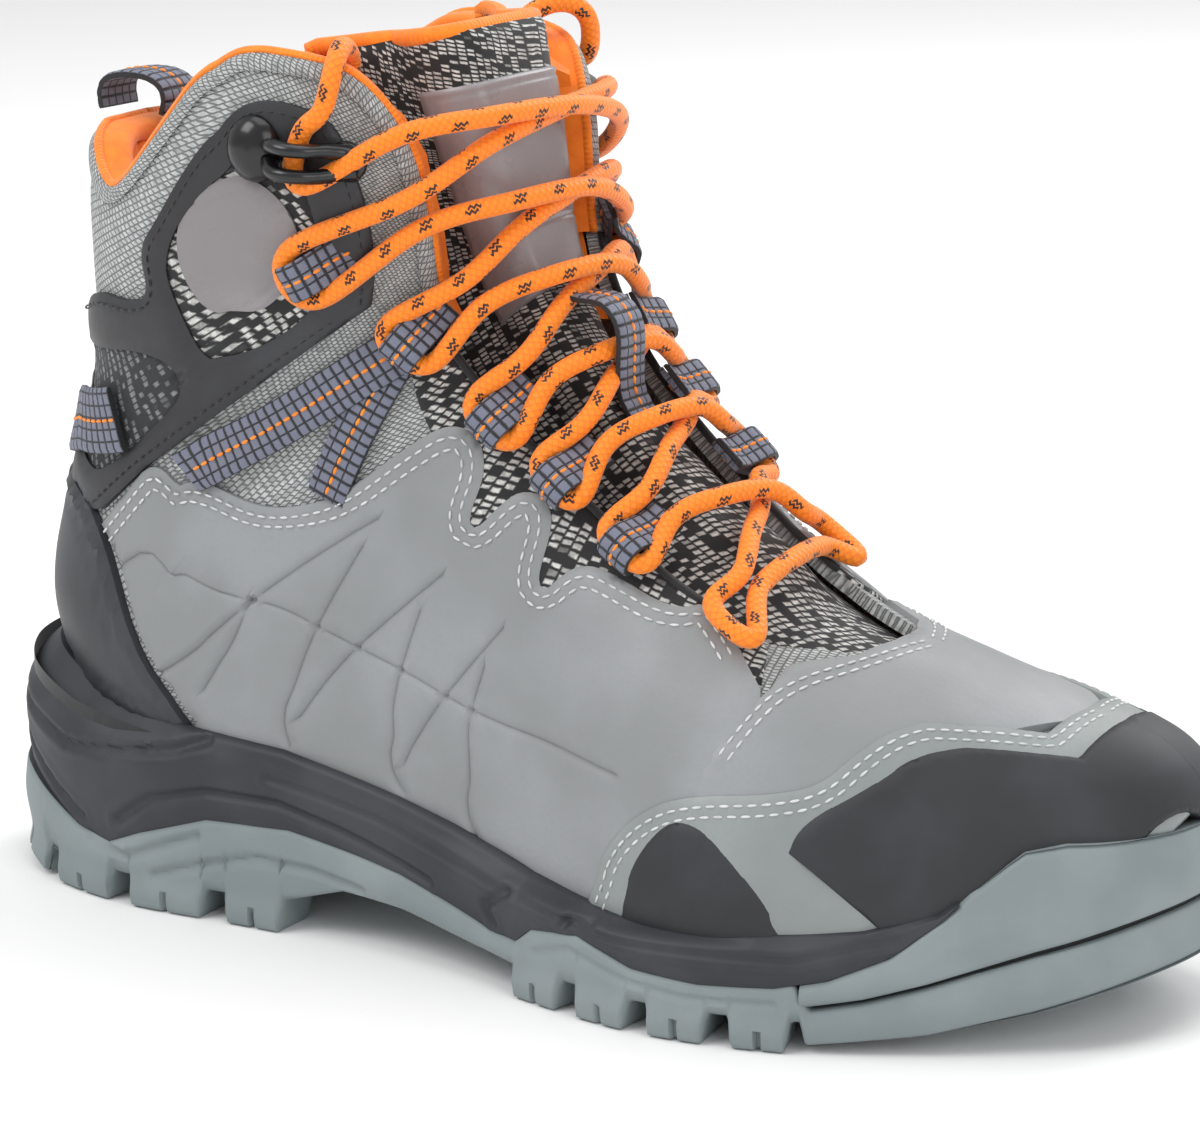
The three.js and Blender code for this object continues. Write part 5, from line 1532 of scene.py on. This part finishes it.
def polyline_distance(x, z, line):
    line = np.asarray(line, float)
    a, b = line[:-1], line[1:]
    p = np.stack([x, z], 1)[:, None, :]
    ab = (b - a)[None]
    f = np.clip(((p - a[None]) * ab).sum(2) / (ab ** 2).sum(2), 0, 1)
    return np.linalg.norm(p - (a[None] + ab * f[..., None]), axis=2).min(1)


def rounded(edge, radius):
    """How far a rounded edge falls back at a distance from it."""
    f = np.clip(edge / radius, 0, 1)
    return radius * (1 - np.sqrt(np.clip(1 - (1 - f) ** 2, 0, 1)))


MID_GROOVES = [
    ([[-150, 46], [-140, 41], [-122, 36], [-104, 37], [-86, 40], [-78, 43]], 1.3, 1.3),
    ([[-150, 40], [-138, 30], [-126, 23], [-116, 18]], 1.1, 1.1),
    ([[-104, 20], [-94, 27], [-78, 31], [-58, 31], [-40, 27], [-14, 20]], 1.2, 1.4),
    ([[6, 15], [4, 19], [10, 23]], 1.0, 1.2), ([[28, 20], [30, 22], [36, 22]], 0.9, 1.0),
    ([[-60, 37], [-30, 32], [4, 24], [40, 19.5], [84, 20.5], [104, 26]], 0.5, 1.0),
]
X = PLAN[:, 0]
IS_MID = X < 116
ENDS = 1.9 * smoothstep(np.abs(X), 95, 145)   # how much tighter the sole is at its heel and toe


def lean_to_upper():
    """How far the sole's top edge leans in to meet the upper, for every point of the plan."""
    feather = find(FEATHER[(FEATHER[:, 0] > -138) & (FEATHER[:, 0] < 130)], -1)
    lateral, medial = [skin(side, 3.0) * [1, 1, 0] for side in (feather, mirror(feather))]
    here = np.column_stack([PLAN, np.zeros(len(PLAN))])
    gap = np.minimum(distance_to(here, lateral), distance_to(here, medial))
    return np.clip(gap - 1.5, 0, 7.0)


LEAN = lean_to_upper()


def midsole_rows():
    top = feather_z(X) + 0.3
    low = np.minimum(line_z(SPLIT, X), top - 0.05)
    rows = [(-9.0, low + 0.6), (-2.5, low + 0.3), (-0.6, low + 0.2)]
    span = top - low
    for f in np.linspace(0, 1, 30):
        z = low + span * f
        swell = 1.1 * np.sin(np.pi * np.clip(f, 0.03, 0.97)) * smoothstep(span, 2, 14)
        shelf = 0.9 * smoothstep(f, 0.70, 0.8) * (1 - smoothstep(f, 0.86, 0.97)) * smoothstep(-X, 70, 100)
        reach = -0.2 + swell + shelf - LEAN * smoothstep(f, 0.55, 1.0) ** 1.4 - 0.8 * ENDS
        for line, depth, width in MID_GROOVES:
            near = polyline_distance(X, z, line)
            bank = np.exp(-((near - width - 1.2) / 0.9) ** 2)
            reach = reach - depth * (1 - smoothstep(near, 0.3, width + 0.4)) + 0.25 * bank
        reach = reach - 1.2 * (1 - np.sqrt(np.clip(1 - ((f - 0.93) / 0.07) ** 2, 0, 1))) * (f > 0.93)
        rows.append((reach, z))
    rows += [(-2.2 - LEAN, top + 0.15), (-4.2 - LEAN, top - 0.4), (-9.0 - LEAN, top - 2.5)]
    return rows


verts, faces, uv = wall(midsole_rows(), IS_MID)
mesh_piece("midsole_moulded", verts, [f[::-1] for f in faces], MIDSOLE_BLACK, uv=uv,
           replaces=["midsole"], slot="midsole_foam", sharp=60)


def bottom_line():
    """Height of the outsole's lower edge, and the share of each point that is on a lug."""
    z = line_z(LUG_LINE, X)
    on = np.zeros(len(X))
    for x0, x1, z0, z1 in LUGS:
        share = smoothstep(X, x0 - 0.9, x0 + 0.5) * (1 - smoothstep(X, x1 - 0.5, x1 + 0.9))
        foot = z0 + (z1 - z0) * np.clip((X - x0) / (x1 - x0), 0, 1)
        z = z * (1 - share) + foot * share
        on = np.maximum(on, share)
    front = smoothstep(X, 85.5, 87)
    z = z * (1 - front) + line_z(FRONT_BOTTOM, X) * front
    return z, np.maximum(on, front)


LOW_Z, ON_LUG = bottom_line()
LUG_HEIGHT = 5.5


def sipes(x, z, depth=1.6):
    """Short slits up the middle of each lug's face."""
    cut = np.zeros(len(x))
    for x0, x1, z0, z1 in LUGS:
        middle = (x0 + x1) / 2
        cut = np.maximum(cut, (1 - smoothstep(np.abs(x - middle), 0.35, 0.8)) * (z < 4.6 + max(z0, z1)))
    return cut * depth


OUT_GROOVES = [([[-112, 14], [-100, 12], [-88, 17], [-80, 20]], 1.4, 1.6),
               ([[-92, 9], [-80, 13], [-64, 17], [-48, 16.5], [-34, 14]], 1.2, 1.4),
               ([[20, 12], [30, 15], [44, 11.5], [60, 9.8], [80, 10.5]], 0.7, 1.0)]


def outsole_rows():
    blend = smoothstep(X, 84, 88)
    top = line_z(SPLIT, X) * (1 - blend) + np.minimum(line_z(SPLIT, X), line_z(GROOVE, X)) * blend
    behind = X < 86
    under = LOW_Z + LUG_HEIGHT * ON_LUG * behind
    rows = [(-22.0, under), (-13.0, under), (-12.4, LOW_Z + 0.3), (-11.0, LOW_Z), (-1.0, LOW_Z)]
    span = top - LOW_Z
    for f in np.concatenate([[0.0, 0.03], np.linspace(0.08, 0.92, 20), [0.96, 1.0]]):
        z = LOW_Z + span * f
        flare = 1.5 * ON_LUG * behind * smoothstep(z, 9, 3)
        flare = flare - 0.6 * (1 - ON_LUG) * behind * smoothstep(z, 10, 6)
        heel = 1.2 * smoothstep(X, -60, -100) * smoothstep(f, 0.25, 0.75)
        swell = 0.9 * np.sin(np.pi * np.clip(f, 0.02, 0.98))
        reach = 0.4 + flare + swell + heel - sipes(X, z) - ENDS
        for line, depth, width in OUT_GROOVES:
            near = polyline_distance(X, z, line)
            reach = reach - depth * (1 - smoothstep(near, 0.2, width + 0.3))
        edge = np.minimum(f, 1 - f) * span
        reach = reach - rounded(edge, 0.9)
        rows.append((reach, z))
    rows += [(-1.4, top + 0.05), (-3.2, top - 0.2), (-9.0, top - 0.6)]
    return rows


verts, faces, uv = wall(outsole_rows())
outsole_wall = (verts, [f[::-1] for f in faces], uv)
inner = PLAN - PLAN_OUT * 21
plate_loop = inner[::6]
plate_edges = [(k, (k + 1) % len(plate_loop)) for k in range(len(plate_loop))]
plate = delaunay_2d_cdt([Vector(p) for p in plate_loop], plate_edges, [], 1, 1e-4)
plate_xy = np.array([tuple(v) for v in plate[0]])
plate_verts = np.column_stack([plate_xy, np.maximum(line_z(LUG_LINE, plate_xy[:, 0]), 5.8)])
plate_part = (plate_verts, [list(f)[::-1] for f in plate[2]], plate_xy)


def tread_block(x, y, length, width, angle, top, foot):
    c, s = math.cos(angle), math.sin(angle)
    verts = []
    for grow, z in ((1.0, top), (0.96, foot + 0.8), (0.86, foot)):
        for sx, sy in ((-1, -1), (1, -1), (1, 1), (-1, 1)):
            a, b = sx * length / 2 * grow, sy * width / 2 * grow
            verts.append([x + a * c - b * s, y + a * s + b * c, z])
    faces = [f[::-1] for f in ring_quads(3, 4)]
    faces.append([11, 10, 9, 8])
    return np.array(verts), faces, np.array(verts)[:, :2]


blocks = []
for x, y in ((-112, 0), (-92, 0), (-72, 2), (18, -14), (18, 10), (38, -20), (38, 12), (58, -22), (58, 14),
             (78, -18), (78, 18), (78, 0), (58, -4), (38, -4), (98, -10), (98, 14), (98, 34)):
    for turn in (-0.6, 0.6):
        foot = max(0.0, line_z(FRONT_BOTTOM, np.array([x]))[0]) if x > 86 else 0.0
        blocks.append(tread_block(x, y + turn * 7, 5.0, 11.0, turn, foot + 8, foot + 0.2))
verts, faces, uv = joined([outsole_wall, plate_part, *blocks])
mesh_piece("outsole_moulded", verts, faces, SOLE_GREY, uv=uv,
           replaces=["outsole"], slot="outsole_rubber", sharp=55)


def bumper_rows():
    low = line_z(GROOVE, X) + 0.9
    top = np.minimum(line_z(SPLIT, X), feather_z(X) + 0.4) - 0.2
    top = np.maximum(top, low + 0.05)
    rows = [(-7.0, low + 0.8), (-2.0, low + 0.3)]
    span = top - low
    for f in np.concatenate([[0.0, 0.03], np.linspace(0.08, 0.94, 16), [0.97, 1.0]]):
        z = low + span * f
        lean = -1.2 * smoothstep(f, 0.35, 1.0) * smoothstep(X, 100, 125)
        edge = np.minimum(f, 1 - f) * span
        reach = 0.6 + 1.0 * np.sin(np.pi * f) + lean - ENDS - rounded(edge, 1.2)
        rows.append((reach, z))
    rows += [(-2.6, top + 0.2), (-5.0, top - 0.1), (-9.5, top - 1.5)]
    return rows


verts, faces, uv = wall(bumper_rows(), X > 85)
mesh_piece("toe_bumper_moulded", verts, [f[::-1] for f in faces], BUMPER_GREY, uv=uv, replaces=["toe_bumper"],
           slot="bumper_rubber", sharp=60)

# a black band set 2.6 mm inside the sole's outline, seen in the groove under the bumper and behind the sole's
# seams
inner_band_top = np.where(X > 86, line_z(GROOVE, X) + 6, feather_z(X) - 3)
inner_band_rows = [(-2.6, np.maximum(LOW_Z + 6, 7)), (-2.6, inner_band_top)]
verts, faces, uv = wall(inner_band_rows)
mesh_piece("sole_black_inner_band", verts, [f[::-1] for f in faces], PIPING_BLACK, uv=uv, slot="midsole_foam")

# ---------------------------------------------------------------- studio
def studio():
    plane = bpy.data.meshes.new("floor")
    size = 6.0
    corners = [(-size, -size, 0), (size, -size, 0), (size, size, 0), (-size, size, 0)]
    plane.from_pydata(corners, [], [(0, 1, 2, 3)])
    floor = bpy.data.objects.new("floor", plane)
    bpy.context.scene.collection.objects.link(floor)
    paper = Shader("paper", "#f7f7f7", 0.9)
    paper.colour(paper.blend(paper.noise(3, 2), "#f6f6f6", "#fafafa"))
    plane.materials.append(paper.mat)
    floor.location.z = CAD_BOX[0][2] - 0.0002
    world = bpy.data.worlds.new("studio")
    bpy.context.scene.world = world
    world.use_nodes = True
    background = world.node_tree.nodes["Background"]
    background.inputs["Color"].default_value = (1.0, 1.0, 1.0, 1.0)
    background.inputs["Strength"].default_value = 0.62
    for name, place, power, width in (
            ("key", (-0.9, -1.3, 1.7), 20, 1.2), ("fill", (1.6, -0.9, 0.9), 9, 1.2),
            ("top", (0.1, 0.2, 2.0), 13, 1.6), ("rim", (0.4, 1.6, 1.2), 14, 1.0)):
        lamp = bpy.data.lights.new(name, "AREA")
        lamp.energy = power
        lamp.size = width
        obj = bpy.data.objects.new(name, lamp)
        bpy.context.scene.collection.objects.link(obj)
        obj.location = place
        aim = Vector((0, 0, 0.08)) - obj.location
        obj.rotation_euler = aim.to_track_quat("-Z", "Y").to_euler()


FOCAL_LENGTH = 130.35        # mm, behind a sensor 36 mm wide


def front_camera():
    azimuth, elevation, distance = math.radians(31.0), math.radians(13.6), 1.0
    target = Vector((0.003, 0.002, 0.088))
    flat = math.cos(elevation)
    back = Vector((math.sin(azimuth) * flat, -math.cos(azimuth) * flat, math.sin(elevation)))
    lens = bpy.data.cameras.new("camera")
    lens.sensor_width = 36.0
    lens.lens = FOCAL_LENGTH
    lens.shift_x = 0.0046
    camera = bpy.data.objects.new("camera", lens)
    bpy.context.scene.collection.objects.link(camera)
    camera.location = target + back * distance
    camera.rotation_euler = (-back).to_track_quat("-Z", "Y").to_euler()
    bpy.context.scene.camera = camera


studio()
front_camera()
bpy.context.scene.view_settings.view_transform = "Standard"
